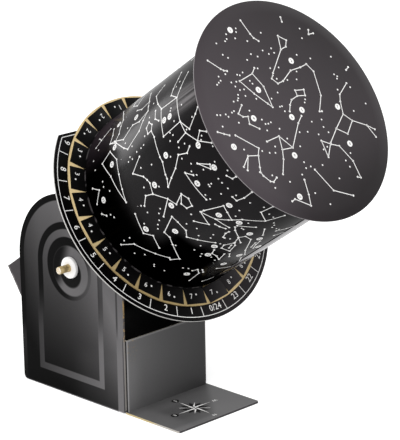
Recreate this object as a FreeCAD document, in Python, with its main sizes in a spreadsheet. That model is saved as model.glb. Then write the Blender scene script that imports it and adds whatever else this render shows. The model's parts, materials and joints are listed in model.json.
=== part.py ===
import FreeCAD, Part
import Sketcher
import math
import os

# Table planetarium made of printed card. A drum with a star map turns about the
# polar axis in front of an hour dial, and the head behind the dial tilts between
# two side plates. Millimetres. The origin is on the floor, straight below the
# tilt axle: +X to the right seen from the front, -Y to the front, +Z up.
# Pieces of the head are placed in a frame of their own: its origin is the middle
# of the axle, z runs forward along the polar axis and y points up in the dial.

Vector = FreeCAD.Vector
Rotation = FreeCAD.Rotation
Placement = FreeCAD.Placement

doc = FreeCAD.newDocument("planetarium_projector")
sizes = doc.addObject("Spreadsheet::Sheet", "sizes")

driving = {
    # stand
    "stand_width": 90.0,        # over the outer faces of the side plates
    "side_thick": 1.5,
    "side_front": 59.0,         # from the axle forward to the plate's edge
    "side_back": 63.0,          # from the axle back to the plate's edge
    "arch_height": 107.0,       # centre of the arch above the floor
    "side_corner": 4.0,         # rounded foot corners
    "axle_height": 109.0,
    "wall_thick": 1.2,
    "wall_gap": 0.6,            # front wall stands this far ahead of the plates
    "wall_flange": 16.0,
    "wall_fold": 0.9,           # outer radius of a fold
    "front_wall_height": 61.0,
    "rear_wall_height": 24.0,
    "base_thick": 1.5,
    "flap_width": 89.0,
    "flap_front": 119.0,        # front edge of the flap ahead of the axle
    "flap_corner": 2.0,
    "strip_leg": 10.0,
    "strip_thick": 0.8,
    "strip_length": 80.0,
    # tilt axle
    "axle_radius": 3.0,
    "axle_stub": 13.2,          # beyond the outer face of a side plate
    "axle_chamfer": 0.5,
    "running": 0.05,            # radial clearance of a shaft that turns
    "face_play": 0.1,           # between flat faces that slide on each other
    "ring_radius": 8.75,
    "ring_thick": 3.0,
    "ring_round": 0.5,
    "bearing_radius": 14.0,
    "bearing_thick": 1.5,
    "spacer_radius": 7.0,
    # head box
    "latitude": 34.4,           # tilt of the polar axis at rest, in degrees
    "axis_rise": 12.6,          # polar axis above the tilt axle
    "sleeve_width": 82.0,
    "sleeve_depth": 66.0,
    "sleeve_rear": 77.5,        # rear end of the sleeve behind the axle
    "dial_front": 83.1,         # front face of the hour plate ahead of the axle
    "card": 1.2,
    "board": 1.5,
    # hour plate and hub
    "hour_radius": 100.9,
    "hour_cut": 71.3,           # straight top edge above the polar axis
    "hour_corner": 1.5,
    "hub_radius": 24.0,
    "hub_thick": 1.6,
    "retainer_radius": 31.0,
    "retainer_thick": 1.2,
    # drum
    "drum_lift": 0.3,           # date disc ahead of the hour plate
    "date_radius": 88.8,
    "date_thick": 1.0,
    "drum_radius": 74.2,
    "drum_thick": 0.6,
    "drum_front": 166.4,        # front of the front disc ahead of the dial face
    "tab_count": 24,
    "tab_reach": 87.2,          # outer edge of a glue tab from the polar axis
    "tab_width": 19.2,
    "tab_thick": 0.5,
    "drum_turn": 2.85,          # first glue tab, counted from +X, in degrees
    "disc_radius": 88.0,
    "disc_thick": 0.8,
    "collar_thick": 0.5,
    "collar_height": 10.0,
    "collar_width": 8.0,
    "seam_width": 12.0,
    # lamp
    "lamp_back": 71.6,          # lamp behind the front of the front disc
    "tube_radius": 8.0,
    "tube_wall": 1.1,
    "tube_rear": 18.5,
    "tube_front": 150.0,
    "shell_radius": 5.6,
    "bulb_radius": 5.5,
    "cap_radius": 4.7,
    # battery, switch and leads
    "battery_length": 61.0,
    "battery_height": 62.0,
    "battery_thick": 22.0,
    "battery_rear": 76.0,       # rear face behind the axle
    "bay_side_room": 3.25,      # bay opening wider than the battery, each side
    "tongue_width": 6.0,
    "tongue_thick": 0.5,
    "tongue_reach": 5.5,
    "lid_width": 74.0,
    "lid_length": 28.0,
    "lid_thick": 0.8,
    "lid_hinge": 50.0,          # fold of the lid behind the axle
    "switch_behind": 25.0,      # switch behind the axle
    "slot_length": 9.0,
    "slot_width": 3.6,
    "slider_length": 4.0,       # slides by the slot's length less this and the play
    "slider_width": 2.8,
    "wire_radius": 0.7,
}

for row, (alias, value) in enumerate(driving.items(), start=1):
    sizes.set("A%d" % row, alias)
    sizes.set("B%d" % row, repr(value))
    sizes.setAlias("B%d" % row, alias)
doc.recompute()


def size(alias):
    return float(sizes.get(alias))


# Frames
floor_frame = Placement()
axle_point = Vector(0, 0, size("axle_height"))
head_turn = Rotation(Vector(1, 0, 0), 90.0 - size("latitude"))
head_frame = Placement(axle_point, head_turn)
polar_frame = head_frame * Placement(Vector(0, size("axis_rise"), 0), Rotation())
drum_frame = polar_frame * Placement(Vector(), Rotation(Vector(0, 0, 1), size("drum_turn")))

along_x = Rotation(Vector(0, 1, 0), 90)
along_minus_y = Rotation(Vector(1, 0, 0), 90)

pieces = []


def node(piece, name):
    """Name a finished sub-part; its label becomes its file name."""
    piece.Label = name
    pieces.append(piece)
    return piece


def bind(piece, expressions):
    for prop, expression in expressions.items():
        piece.setExpression(prop, str(expression))
    return piece


def box(name, extents, corner, frame):
    piece = doc.addObject("Part::Box", name)
    piece.Placement = frame * Placement(Vector(*corner), Rotation())
    return bind(piece, dict(zip(("Length", "Width", "Height"), extents)))


def cylinder(name, radius, height, start, frame, turn=Rotation()):
    piece = doc.addObject("Part::Cylinder", name)
    piece.Placement = frame * Placement(Vector(*start), turn)
    return bind(piece, {"Radius": radius, "Height": height})


def cut(name, base, tool):
    piece = doc.addObject("Part::Cut", name)
    piece.Base = base
    piece.Tool = tool
    return piece


def fuse(name, *shapes):
    piece = doc.addObject("Part::MultiFuse", name)
    piece.Shapes = list(shapes)
    return piece


def rounded(name, base, radius, chosen, kind="Part::Fillet"):
    """Fillet or chamfer the edges of base whose middle passes the test chosen."""
    doc.recompute()
    piece = doc.addObject(kind, name)
    piece.Base = base
    marked = []
    for index, edge in enumerate(base.Shape.Edges, start=1):
        middle = edge.valueAt((edge.FirstParameter + edge.LastParameter) / 2)
        if chosen(middle, edge):
            marked.append((index, radius, radius))
    piece.Edges = marked
    return piece


def ring(name, outer, inner, height, start, frame, turn=Rotation()):
    """A flat ring or tube: outer and inner radius and height are expressions."""
    return cut(name,
               cylinder(name + "_outer", outer, height, start, frame, turn),
               cylinder(name + "_hole", inner, height, start, frame, turn))


def flat_sketch(body, name):
    plane = next(f for f in body.Origin.OriginFeatures if f.Role == "XY_Plane")
    sketch = body.newObject("Sketcher::SketchObject", name)
    sketch.AttachmentSupport = [(plane, "")]
    sketch.MapMode = "FlatFace"
    return sketch


def centred_circle(sketch, radius, alias):
    """A circle about the sketch's origin, its radius bound to an expression."""
    index = sketch.addGeometry(Part.Circle(Vector(), Vector(0, 0, 1), radius), False)
    sketch.addConstraint(Sketcher.Constraint("Coincident", index, 3, -1, 1))
    held = sketch.addConstraint(Sketcher.Constraint("Radius", index, radius))
    sketch.setExpression("Constraints[%d]" % held, alias)
    return index


def pad(body, sketch, name, length):
    feature = body.newObject("PartDesign::Pad", name)
    feature.Profile = sketch
    feature.setExpression("Length", length)
    return feature


# Stand: side plates


def side_plate(side, outer_x):
    """An arched plate: upright sheet, round top, round foot corners, axle hole."""
    front, back = size("side_front"), size("side_back")
    radius = (front + back) / 2
    sheet = box("sheet_" + side,
                ("sizes.side_thick", "sizes.side_front + sizes.side_back", "sizes.arch_height"),
                (outer_x, -front, 0), floor_frame)
    arch = cylinder("arch_" + side, "(sizes.side_front + sizes.side_back) / 2",
                    "sizes.side_thick",
                    (outer_x, radius - front, size("arch_height")), floor_frame, along_x)
    blank = rounded("blank_" + side, fuse("outline_" + side, sheet, arch),
                    size("side_corner"),
                    lambda p, e: p.z < 0.01 and abs(abs(p.y - (radius - front)) - radius) < 0.01)
    hole = cylinder("axle_hole_" + side, "sizes.axle_radius + sizes.running",
                    "sizes.side_thick", (outer_x, 0, size("axle_height")), floor_frame, along_x)
    return node(cut("plate_" + side, blank, hole), "side_plate_" + side)


half_width = size("stand_width") / 2
inner_x = half_width - size("side_thick")
side_plate("left", -half_width)
side_plate("right", inner_x)

# Stand: folded walls. Each is a panel with two flanges folded back between the plates.


def folded_wall(name, height_alias, panel_y, back):
    """Panel face at panel_y; back is +1 where the flanges run to +Y, else -1."""
    low_y = panel_y if back > 0 else panel_y - size("wall_flange")
    base_top = size("base_thick")
    thick = size("wall_thick")
    inside_width = "sizes.stand_width - 2 * sizes.side_thick"
    tall = "sizes.%s - sizes.base_thick" % height_alias
    block = box(name + "_block", (inside_width, "sizes.wall_flange", tall),
                (-inner_x, low_y, base_top), floor_frame)
    folded = rounded(name + "_folded", block, size("wall_fold"),
                     lambda p, e: abs(p.y - panel_y) < 0.01 and abs(abs(p.x) - inner_x) < 0.01)
    room = box(name + "_room",
               (inside_width + " - 2 * sizes.wall_thick", "sizes.wall_flange", tall),
               (-inner_x + thick, low_y + back * thick, base_top), floor_frame)
    return node(cut(name + "_channel", folded, room), name)


front_face = -size("side_front") - size("wall_gap") - size("wall_thick")
rear_face = size("side_back") - size("wall_thick")
folded_wall("front_wall", "front_wall_height", front_face, 1)
folded_wall("rear_wall", "rear_wall_height", rear_face, -1)

# Stand: floor between the side plates and the wider flap in front of them

flap_back = -size("side_front") - 0.2
floor_sheet = box("floor_sheet",
                  ("sizes.stand_width - 2 * sizes.side_thick",
                   "sizes.side_front + sizes.side_back - sizes.wall_thick + 0.2",
                   "sizes.base_thick"),
                  (-inner_x, flap_back, 0), floor_frame)
flap_sheet = box("flap_sheet",
                 ("sizes.flap_width", "sizes.flap_front - sizes.side_front - 0.2",
                  "sizes.base_thick"),
                 (-size("flap_width") / 2, -size("flap_front"), 0), floor_frame)
flap = rounded("flap", flap_sheet, size("flap_corner"),
               lambda p, e: abs(p.y + size("flap_front")) < 0.01
               and abs(abs(p.x) - size("flap_width") / 2) < 0.01)
node(fuse("base", floor_sheet, flap), "base_plate")


def floor_strip(side, sign):
    """Folded strip in the corner between a side plate and the floor."""
    leg, thick = size("strip_leg"), size("strip_thick")
    outer = sign * inner_x
    low = size("base_thick")
    start_y = -size("strip_length") / 2
    flat = box("strip_flat_" + side,
               ("sizes.strip_leg", "sizes.strip_length", "sizes.strip_thick"),
               (min(outer, outer - sign * leg), start_y, low), floor_frame)
    upright = box("strip_upright_" + side,
                  ("sizes.strip_thick", "sizes.strip_length", "sizes.strip_leg"),
                  (min(outer, outer - sign * thick), start_y, low), floor_frame)
    return node(fuse("strip_" + side, flat, upright), "floor_strip_" + side)


floor_strip("left", -1)
floor_strip("right", 1)

# Tilt axle and the rings on it, mirrored left and right

axle_end = half_width + size("axle_stub")
dowel = cylinder("dowel", "sizes.axle_radius", "sizes.stand_width + 2 * sizes.axle_stub",
                 (-axle_end, 0, size("axle_height")), floor_frame, along_x)
node(rounded("axle", dowel, size("axle_chamfer"),
             lambda p, e: abs(abs(p.x) - axle_end) < 0.01, "Part::Chamfer"), "tilt_axle")

ring_inner = half_width + size("face_play")
bearing_inner = inner_x - size("bearing_thick")
sleeve_half = size("sleeve_width") / 2
spacer_gap = bearing_inner - sleeve_half
for side, sign in (("left", -1), ("right", 1)):
    # a ring runs along +X from its lower face, whichever side it is on
    def low_x(near, thick):
        return near if sign > 0 else -near - thick

    bearing = ring("bearing_" + side, "sizes.bearing_radius",
                   "sizes.axle_radius + sizes.running", "sizes.bearing_thick",
                   (low_x(bearing_inner, size("bearing_thick")), 0, size("axle_height")),
                   floor_frame, along_x)
    node(bearing, "bearing_ring_" + side)
    collar = ring("collar_" + side, "sizes.ring_radius", "sizes.axle_radius",
                  "sizes.ring_thick",
                  (low_x(ring_inner, size("ring_thick")), 0, size("axle_height")),
                  floor_frame, along_x)
    node(rounded("ring_" + side, collar, size("ring_round"),
                 lambda p, e: e.Curve.TypeId == "Part::GeomCircle"
                 and e.Curve.Radius > size("ring_radius") - 0.1), "axle_ring_" + side)
    spacer = ring("spacer_" + side, "sizes.spacer_radius", "sizes.axle_radius",
                  "sizes.stand_width / 2 - sizes.side_thick - sizes.bearing_thick"
                  " - sizes.sleeve_width / 2 - sizes.face_play",
                  (low_x(sleeve_half, spacer_gap - size("face_play")), 0,
                   size("axle_height")), floor_frame, along_x)
    node(spacer, "axle_spacer_" + side)

# Head: folded card sleeve, with the axle holes, the battery opening and the switch slot

card = size("card")
half_depth = size("sleeve_depth") / 2
sleeve_front = size("dial_front") - card
sleeve_rear = -size("sleeve_rear")
sleeve_long = "sizes.dial_front - sizes.card + sizes.sleeve_rear"
sleeve_block = box("sleeve_block", ("sizes.sleeve_width", "sizes.sleeve_depth", sleeve_long),
                   (-sleeve_half, -half_depth, sleeve_rear), head_frame)
sleeve_folded = rounded("sleeve_folded", sleeve_block, size("wall_fold"),
                        lambda p, e: abs(e.Length - (sleeve_front - sleeve_rear)) < 0.01)
sleeve_room = box("sleeve_room",
                  ("sizes.sleeve_width - 2 * sizes.card",
                   "sizes.sleeve_depth - 2 * sizes.card", sleeve_long),
                  (-sleeve_half + card, -half_depth + card, sleeve_rear), head_frame)
sleeve_axle = cylinder("sleeve_axle", "sizes.axle_radius", "sizes.sleeve_width",
                       (-sleeve_half, 0, 0), head_frame, along_x)
bay_margin = 0.8
bay_hole = box("bay_hole",
               ("sizes.battery_length + 2 * sizes.bay_side_room", "2 * sizes.card",
                "sizes.battery_thick + %g" % bay_margin),
               (-size("battery_length") / 2 - size("bay_side_room"), half_depth - 1.5 * card,
                -size("battery_rear") - bay_margin / 2), head_frame)
slot_x, slot_z = size("slot_length") / 2, size("slot_width") / 2
switch_z = -size("switch_behind")
panel_slot = box("panel_slot", ("sizes.slot_length", "2 * sizes.card", "sizes.slot_width"),
                 (-slot_x, half_depth - 1.5 * card, switch_z - slot_z), head_frame)
node(cut("sleeve", cut("sleeve_tube", sleeve_folded, sleeve_room),
         fuse("sleeve_openings", sleeve_axle, bay_hole, panel_slot)), "head_sleeve")

# Head: card walls inside and behind the sleeve


def inner_wall(name, thick, start_z, tube_hole=False):
    sheet = box(name + "_sheet",
                ("sizes.sleeve_width - 2 * sizes.card", "sizes.sleeve_depth - 2 * sizes.card",
                 thick),
                (-sleeve_half + card, -half_depth + card, start_z), head_frame)
    if not tube_hole:
        return sheet
    hole = cylinder(name + "_hole", "sizes.tube_radius", thick,
                    (0, size("axis_rise"), start_z), head_frame)
    return cut(name + "_card", sheet, hole)


rear_panel = box("rear_card", ("sizes.sleeve_width", "sizes.sleeve_depth", "sizes.card"),
                 (-sleeve_half, -half_depth, sleeve_rear - card), head_frame)
node(rear_panel, "rear_panel")
divider_z = -size("battery_rear") + size("battery_thick") + 0.2
wire_notch = 9.0
divider = cut("divider_card", inner_wall("divider", "sizes.card", divider_z),
              box("divider_notch", (wire_notch, "sizes.sleeve_depth", "sizes.card"),
                  (sleeve_half - card - wire_notch, -half_depth, divider_z), head_frame))
node(divider, "battery_divider")
node(inner_wall("tube_wall", "sizes.board", size("tube_rear") + 1.5, True), "tube_bulkhead")
node(inner_wall("front_wall_inside", "sizes.board", sleeve_front - size("board"), True),
     "front_bulkhead")

# Head: lid of the battery bay, folded along its front edge on top of the sleeve

lid_back = -size("lid_hinge") - size("lid_length")
lid_sheet = box("lid_sheet", ("sizes.lid_width", "sizes.lid_thick", "sizes.lid_length"),
                (-size("lid_width") / 2, half_depth + size("face_play"), lid_back), head_frame)
lid_tab_radius = 7.0
lid_tab = cylinder("lid_tab", lid_tab_radius, "sizes.lid_thick",
                   (0, half_depth + size("face_play") + size("lid_thick"), lid_back + 4.0),
                   head_frame, along_minus_y)
node(fuse("lid", lid_sheet, lid_tab), "battery_lid")

# Head: hour plate, round but for its straight top edge

hour_body = doc.addObject("PartDesign::Body", "hour_body")
hour_sketch = flat_sketch(hour_body, "hour_outline")
hour_half = math.sqrt(size("hour_radius") ** 2 - size("hour_cut") ** 2)
cut_angle = math.atan2(size("hour_cut"), hour_half)
rim = Part.Circle(Vector(), Vector(0, 0, 1), size("hour_radius"))
hour_sketch.addGeometry(Part.ArcOfCircle(rim, math.pi - cut_angle, 2 * math.pi + cut_angle))
hour_sketch.addGeometry(Part.LineSegment(Vector(hour_half, size("hour_cut"), 0),
                                         Vector(-hour_half, size("hour_cut"), 0)))
for rule in (("Coincident", 0, 3, -1, 1), ("Coincident", 0, 1, 1, 2),
             ("Coincident", 0, 2, 1, 1), ("Horizontal", 1)):
    hour_sketch.addConstraint(Sketcher.Constraint(*rule))
held = hour_sketch.addConstraint(Sketcher.Constraint("Radius", 0, size("hour_radius")))
hour_sketch.setExpression("Constraints[%d]" % held, "sizes.hour_radius")
held = hour_sketch.addConstraint(
    Sketcher.Constraint("DistanceY", -1, 1, 1, 1, size("hour_cut")))
hour_sketch.setExpression("Constraints[%d]" % held, "sizes.hour_cut")
centred_circle(hour_sketch, size("tube_radius"), "sizes.tube_radius")
hour_pad = pad(hour_body, hour_sketch, "hour_pad", "sizes.card")
doc.recompute()
hour_round = hour_body.newObject("PartDesign::Fillet", "hour_round")
corners = ["Edge%d" % index for index, edge in enumerate(hour_pad.Shape.Edges, start=1)
           if abs(edge.Length - card) < 0.01 and edge.CenterOfMass.y > 50]
hour_round.Base = (hour_pad, corners)
hour_round.setExpression("Radius", "sizes.hour_corner")
hour_body.Tip = hour_round
hour_body.Placement = polar_frame * Placement(Vector(0, 0, sleeve_front), Rotation())
node(hour_body, "hour_plate")

# Head: hub that the drum turns on, and the ring that keeps the drum there

dial_front = size("dial_front")
hub_front = dial_front + size("hub_thick")
node(ring("hub", "sizes.hub_radius", "sizes.tube_radius", "sizes.hub_thick",
          (0, 0, dial_front), polar_frame), "hub_ring")
node(ring("retainer", "sizes.retainer_radius", "sizes.tube_radius", "sizes.retainer_thick",
          (0, 0, hub_front), polar_frame), "hub_retainer")

# Lamp: card tube, holder, screw lamp

tube_front = size("tube_front")
node(ring("tube", "sizes.tube_radius", "sizes.tube_radius - sizes.tube_wall",
          "sizes.tube_front - sizes.tube_rear", (0, 0, size("tube_rear")), polar_frame),
     "lamp_tube")


def turned(name, profile, frame):
    """A body turned about the polar axis from an outline of (radius, z) points."""
    body = doc.addObject("PartDesign::Body", name + "_body")
    plane = next(f for f in body.Origin.OriginFeatures if f.Role == "XZ_Plane")
    sketch = body.newObject("Sketcher::SketchObject", name + "_profile")
    sketch.AttachmentSupport = [(plane, "")]
    sketch.MapMode = "FlatFace"
    corners = [Vector(radius, height, 0) for radius, height in profile]
    for start, end in zip(corners, corners[1:] + corners[:1]):
        sketch.addGeometry(Part.LineSegment(start, end))
    for index in range(len(corners)):
        following = (index + 1) % len(corners)
        sketch.addConstraint(Sketcher.Constraint("Coincident", index, 2, following, 1))
    feature = body.newObject("PartDesign::Revolution", name + "_turned")
    feature.Profile = sketch
    feature.ReferenceAxis = (sketch, ["V_Axis"])
    feature.Angle = 360
    body.Placement = frame
    return body


shell = size("shell_radius")
plug = size("tube_radius") - size("tube_wall")
holder_front = tube_front + 13.0
node(turned("holder", [
    (0, tube_front - 8), (plug, tube_front - 8), (plug, tube_front),
    (8.6, tube_front), (8.6, tube_front + 2), (7.4, tube_front + 3),
    (7.4, holder_front), (shell, holder_front), (shell, tube_front + 1), (0, tube_front + 1),
], polar_frame), "socket_body")

cap = size("cap_radius")
shell_front = holder_front + 1.5
node(turned("shell", [
    (shell, tube_front + 1), (shell, holder_front), (shell + 0.9, holder_front),
    (shell + 0.9, shell_front), (cap + 0.4, shell_front), (cap + 0.4, tube_front + 1),
], polar_frame), "socket_shell")

# the cap's thread is a row of shallow ridges
cap_rear = tube_front + 3.0
cap_front = cap_rear + 14.0
thread_pitch = 1.8
thread = []
for turn in range(6):
    ridge = cap_rear + 2.6 + turn * thread_pitch
    thread += [(cap - 0.35, ridge - 0.5), (cap, ridge), (cap - 0.35, ridge + 0.5)]
node(turned("cap", [(0, cap_rear), (1.6, cap_rear), (2.4, cap_rear + 1.2),
                    (cap - 0.5, cap_rear + 1.8)] + thread
            + [(cap - 0.35, cap_front), (0, cap_front)], polar_frame), "bulb_cap")

lamp_z = dial_front + size("drum_front") - size("lamp_back")
globe = size("bulb_radius")
globe_z = lamp_z - 1.0
glass_wall = 0.5
neck = cap - 0.9
neck_join = math.sqrt(globe ** 2 - neck ** 2)
globe_outer = doc.addObject("Part::Sphere", "globe_outer")
bind(globe_outer, {"Radius": "sizes.bulb_radius"})
globe_outer.Placement = polar_frame * Placement(Vector(0, 0, globe_z), Rotation())
globe_inner = doc.addObject("Part::Sphere", "globe_inner")
bind(globe_inner, {"Radius": "sizes.bulb_radius - %g" % glass_wall})
globe_inner.Placement = globe_outer.Placement
neck_long = globe_z - neck_join - cap_front + 0.6
neck_outer = cylinder("neck_outer", neck, neck_long, (0, 0, cap_front), polar_frame)
neck_inner = cylinder("neck_inner", neck - glass_wall, neck_long + 1.0,
                      (0, 0, cap_front), polar_frame)
node(cut("glass", fuse("glass_outer", globe_outer, neck_outer),
         fuse("glass_inner", globe_inner, neck_inner)), "bulb_glass")

post_radius, post_apart = 0.3, 1.6
posts = [cylinder("post_%d" % (sign > 0), post_radius, lamp_z - cap_front,
                  (sign * post_apart, 0, cap_front), polar_frame) for sign in (-1, 1)]
coil = cylinder("coil", post_radius, 2 * post_apart, (-post_apart, 0, lamp_z - post_radius),
                polar_frame, along_x)
node(fuse("filament", coil, *posts), "bulb_filament")

# Battery with its two spring strips

battery_x = -size("battery_length") / 2 - 3.0
battery_z = -size("battery_rear")
battery_block = box("battery_block",
                    ("sizes.battery_length", "sizes.battery_height", "sizes.battery_thick"),
                    (battery_x, -size("battery_height") / 2, battery_z), head_frame)
node(rounded("battery_case", battery_block, 1.5,
             lambda p, e: abs(e.Length - size("battery_length")) < 0.01), "battery")

tongue_x = battery_x + size("battery_length")
tongue_z = battery_z + (size("battery_thick") - size("tongue_width")) / 2
tongues = []
for index, (root_y, tip_long) in enumerate(((-18.0, 14.0), (18.0, -9.0))):
    leg = box("tongue_leg_%d" % index,
              ("sizes.tongue_reach", "sizes.tongue_thick", "sizes.tongue_width"),
              (tongue_x, root_y, tongue_z), head_frame)
    tip = box("tongue_tip_%d" % index,
              ("sizes.tongue_thick", abs(tip_long), "sizes.tongue_width"),
              (tongue_x + size("tongue_reach") - size("tongue_thick"),
               min(root_y, root_y + tip_long + size("tongue_thick")), tongue_z), head_frame)
    tongues.append(fuse("tongue_%d" % index, leg, tip))
doc.recompute()
tongue_pair = doc.addObject("Part::Compound", "tongue_pair")
tongue_pair.Links = tongues
node(tongue_pair, "battery_tongues")

# Slide switch under the top of the sleeve; its slider comes up through the slot

switch_top = half_depth - card
flange_long, flange_thick, flange_wide = 26.0, 0.6, 8.0
case_long, case_side = 18.0, 6.4
well_deep = 3.4             # room for the slider's foot below the sleeve
stem_foot, stem_top = 3.0, 3.6      # slider below and above the underside of the sleeve
stem_play = 0.3
switch_flange = box("switch_flange", (flange_long, flange_thick, flange_wide),
                    (-flange_long / 2, switch_top - flange_thick, switch_z - flange_wide / 2),
                    head_frame)
switch_case = box("switch_case", (case_long, case_side, case_side),
                  (-case_long / 2, switch_top - flange_thick - case_side,
                   switch_z - case_side / 2), head_frame)
switch_room = box("switch_room", ("sizes.slot_length", well_deep, "sizes.slot_width"),
                  (-slot_x, switch_top - well_deep, switch_z - slot_z), head_frame)
node(cut("switch", fuse("switch_solid", switch_flange, switch_case), switch_room),
     "switch_body")
slider_stem = box("slider_stem",
                  ("sizes.slider_length", stem_foot + stem_top, "sizes.slider_width"),
                  (-slot_x + stem_play, switch_top - stem_foot,
                   switch_z - size("slider_width") / 2), head_frame)
node(rounded("slider", slider_stem, 0.5,
             lambda p, e: (head_frame.inverse() * p).y > switch_top + stem_top - 0.01),
     "switch_slider")

# Leads inside the head: straight runs joined by tangent arcs


def lead(name, route):
    points = [head_frame * Vector(*point) for point in route]
    radius = size("wire_radius")
    edges = []
    start = points[0]
    tightest = None
    for before, corner, after in zip(points, points[1:], points[2:]):
        inward, outward = (before - corner), (after - corner)
        turn = math.pi - inward.getAngle(outward)
        shorter = min(inward.Length, outward.Length)
        set_back = 0.45 * shorter
        bend = set_back / math.tan(turn / 2)
        tightest = bend if tightest is None else min(tightest, bend)
        inward.normalize()
        outward.normalize()
        first, last = corner + inward * set_back, corner + outward * set_back
        middle = (inward + outward).normalize()
        reach = bend / math.cos(turn / 2) - bend
        edges.append(Part.LineSegment(start, first).toShape())
        edges.append(Part.Arc(first, corner + middle * reach, last).toShape())
        start = last
    edges.append(Part.LineSegment(start, points[-1]).toShape())
    path = Part.Wire(edges)
    section = Part.Wire([Part.Circle(points[0], points[1] - points[0], radius).toShape()])
    piece = doc.addObject("Part::Feature", name + "_lead")
    piece.Shape = path.makePipeShell([section], True, False)
    print(name, "length %.1f, tightest bend %.1f" % (path.Length, tightest))
    return node(piece, name)


lead_y = size("axis_rise")
lead_x = 35.6
socket_back = tube_front - 8.0
wire_x = 2.4
battery_middle = battery_z + size("battery_thick") / 2
lead("wire_to_switch", [(lead_x, 14, battery_middle), (lead_x, 14, -42), (24, 26, -30),
                        (9.2, 27, switch_z)])
lead("wire_to_lamp", [(-9.2, 27, switch_z), (-22, 25, -17), (-14, 20, 2),
                      (-wire_x, lead_y, 14), (-wire_x, lead_y, 60),
                      (-wire_x - 0.4, lead_y, 105), (-wire_x, lead_y, socket_back)])
lead("wire_return", [(lead_x, -9, battery_middle), (lead_x, -9, -42), (24, 8, -26),
                     (10, 17, -4), (wire_x, lead_y, 14), (wire_x, lead_y, 60),
                     (wire_x + 0.4, lead_y, 105), (wire_x, lead_y, socket_back)])

# Drum: date disc, printed cylinder with folded tabs, seam strip, collar and front disc

disc_back = dial_front + size("drum_lift")
disc_front = disc_back + size("date_thick")
node(ring("date", "sizes.date_radius", "sizes.hub_radius + sizes.running",
          "sizes.date_thick", (0, 0, disc_back), drum_frame), "date_disc")

tab_front = disc_front + size("tab_thick")
node(ring("wall", "sizes.drum_radius", "sizes.drum_radius - sizes.drum_thick",
          "sizes.drum_front - sizes.drum_lift - sizes.date_thick"
          " - sizes.tab_thick - sizes.disc_thick", (0, 0, tab_front), drum_frame),
     "star_cylinder")

# the cylinder's glue tabs, folded out flat on the date disc
tab_start = size("drum_radius") - 1.2
tab_turn = 360 / size("tab_count")
tabs = []
for index in range(int(size("tab_count"))):
    turned_frame = drum_frame * Placement(Vector(), Rotation(Vector(0, 0, 1), index * tab_turn))
    tabs.append(box("tab_%d" % index,
                    ("sizes.tab_reach - sizes.drum_radius + 1.2", "sizes.tab_width",
                     "sizes.tab_thick"),
                    (tab_start, -size("tab_width") / 2, disc_front), turned_frame))
doc.recompute()
tab_ring = doc.addObject("Part::Compound", "tab_ring")
tab_ring.Links = tabs
node(tab_ring, "glue_tabs")

front_back = dial_front + size("drum_front") - size("disc_thick")
node(cylinder("front", "sizes.disc_radius", "sizes.disc_thick", (0, 0, front_back), drum_frame),
     "front_disc")

collar_outer = "sizes.drum_radius - sizes.drum_thick"
collar_inner = collar_outer + " - sizes.collar_thick"
collar_back = front_back - size("collar_height")
collar_skirt = ring("collar_skirt", collar_outer, collar_inner, "sizes.collar_height",
                    (0, 0, collar_back), drum_frame)
collar_rim = ring("collar_rim", collar_outer, collar_outer + " - sizes.collar_width",
                  "sizes.collar_thick", (0, 0, front_back - size("collar_thick")), drum_frame)
node(fuse("collar", collar_skirt, collar_rim), "front_collar")

# the seam strip lies inside the cylinder, below the collar and above the tabs
seam_low = tab_front + 1.0
strip_angle = math.degrees(size("seam_width") / size("drum_radius"))
seam_turn = -85.0
seam_tube = []
for kind, radius in (("outer", collar_outer), ("inner", collar_inner)):
    wedge = cylinder("seam_" + kind, radius, collar_back - seam_low, (0, 0, seam_low),
                     drum_frame, Rotation(Vector(0, 0, 1), seam_turn - strip_angle / 2))
    wedge.Angle = strip_angle
    seam_tube.append(wedge)
node(cut("seam", *seam_tube), "seam_strip")

# Check every object, then write one file for each sub-part

doc.recompute()
for thing in doc.Objects:
    if "Invalid" in thing.State or "Error" in thing.State:
        raise RuntimeError("%s did not build: %s" % (thing.Label, thing.State))
names = [piece.Label for piece in pieces]
if len(set(names)) != len(names):
    raise RuntimeError("two sub-parts share a name")

os.makedirs("parts", exist_ok=True)
for piece in pieces:
    shape = piece.Shape
    if shape.isNull() or not shape.isValid() or not shape.Solids:
        raise RuntimeError("%s has no valid shape" % piece.Label)
    shape.exportStep(os.path.join("parts", piece.Label + ".step"))
    extent = shape.BoundBox
    print("%-20s %d solid  %9.0f mm3  x %.1f %.1f  y %.1f %.1f  z %.1f %.1f" % (
        piece.Label, len(shape.Solids), shape.Volume, extent.XMin, extent.XMax,
        extent.YMin, extent.YMax, extent.ZMin, extent.ZMax))
print(len(pieces), "sub-parts")
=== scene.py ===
import bmesh
import bpy
import json
import math
import random
from mathutils import Matrix, Vector


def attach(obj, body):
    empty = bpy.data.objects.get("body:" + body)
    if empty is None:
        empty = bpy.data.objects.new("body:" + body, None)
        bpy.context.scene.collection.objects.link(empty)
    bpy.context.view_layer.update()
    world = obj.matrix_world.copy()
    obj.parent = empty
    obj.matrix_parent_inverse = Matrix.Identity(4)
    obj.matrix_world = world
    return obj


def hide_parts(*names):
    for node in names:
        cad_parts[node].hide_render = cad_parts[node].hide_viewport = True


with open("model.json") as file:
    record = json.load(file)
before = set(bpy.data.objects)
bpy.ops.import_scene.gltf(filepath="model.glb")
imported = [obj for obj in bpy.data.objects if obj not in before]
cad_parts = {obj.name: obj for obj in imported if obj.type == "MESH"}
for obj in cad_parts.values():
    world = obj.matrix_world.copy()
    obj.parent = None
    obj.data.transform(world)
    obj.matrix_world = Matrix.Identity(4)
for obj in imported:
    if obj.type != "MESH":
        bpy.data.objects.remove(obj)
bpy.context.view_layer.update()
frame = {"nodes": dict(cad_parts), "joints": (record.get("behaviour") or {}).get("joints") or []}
nodes = frame["nodes"]
joints = {joint["name"]: joint for joint in frame["joints"]}
scene = bpy.context.scene
mm = 0.001
print("frame loaded:", len(nodes), "nodes")

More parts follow.
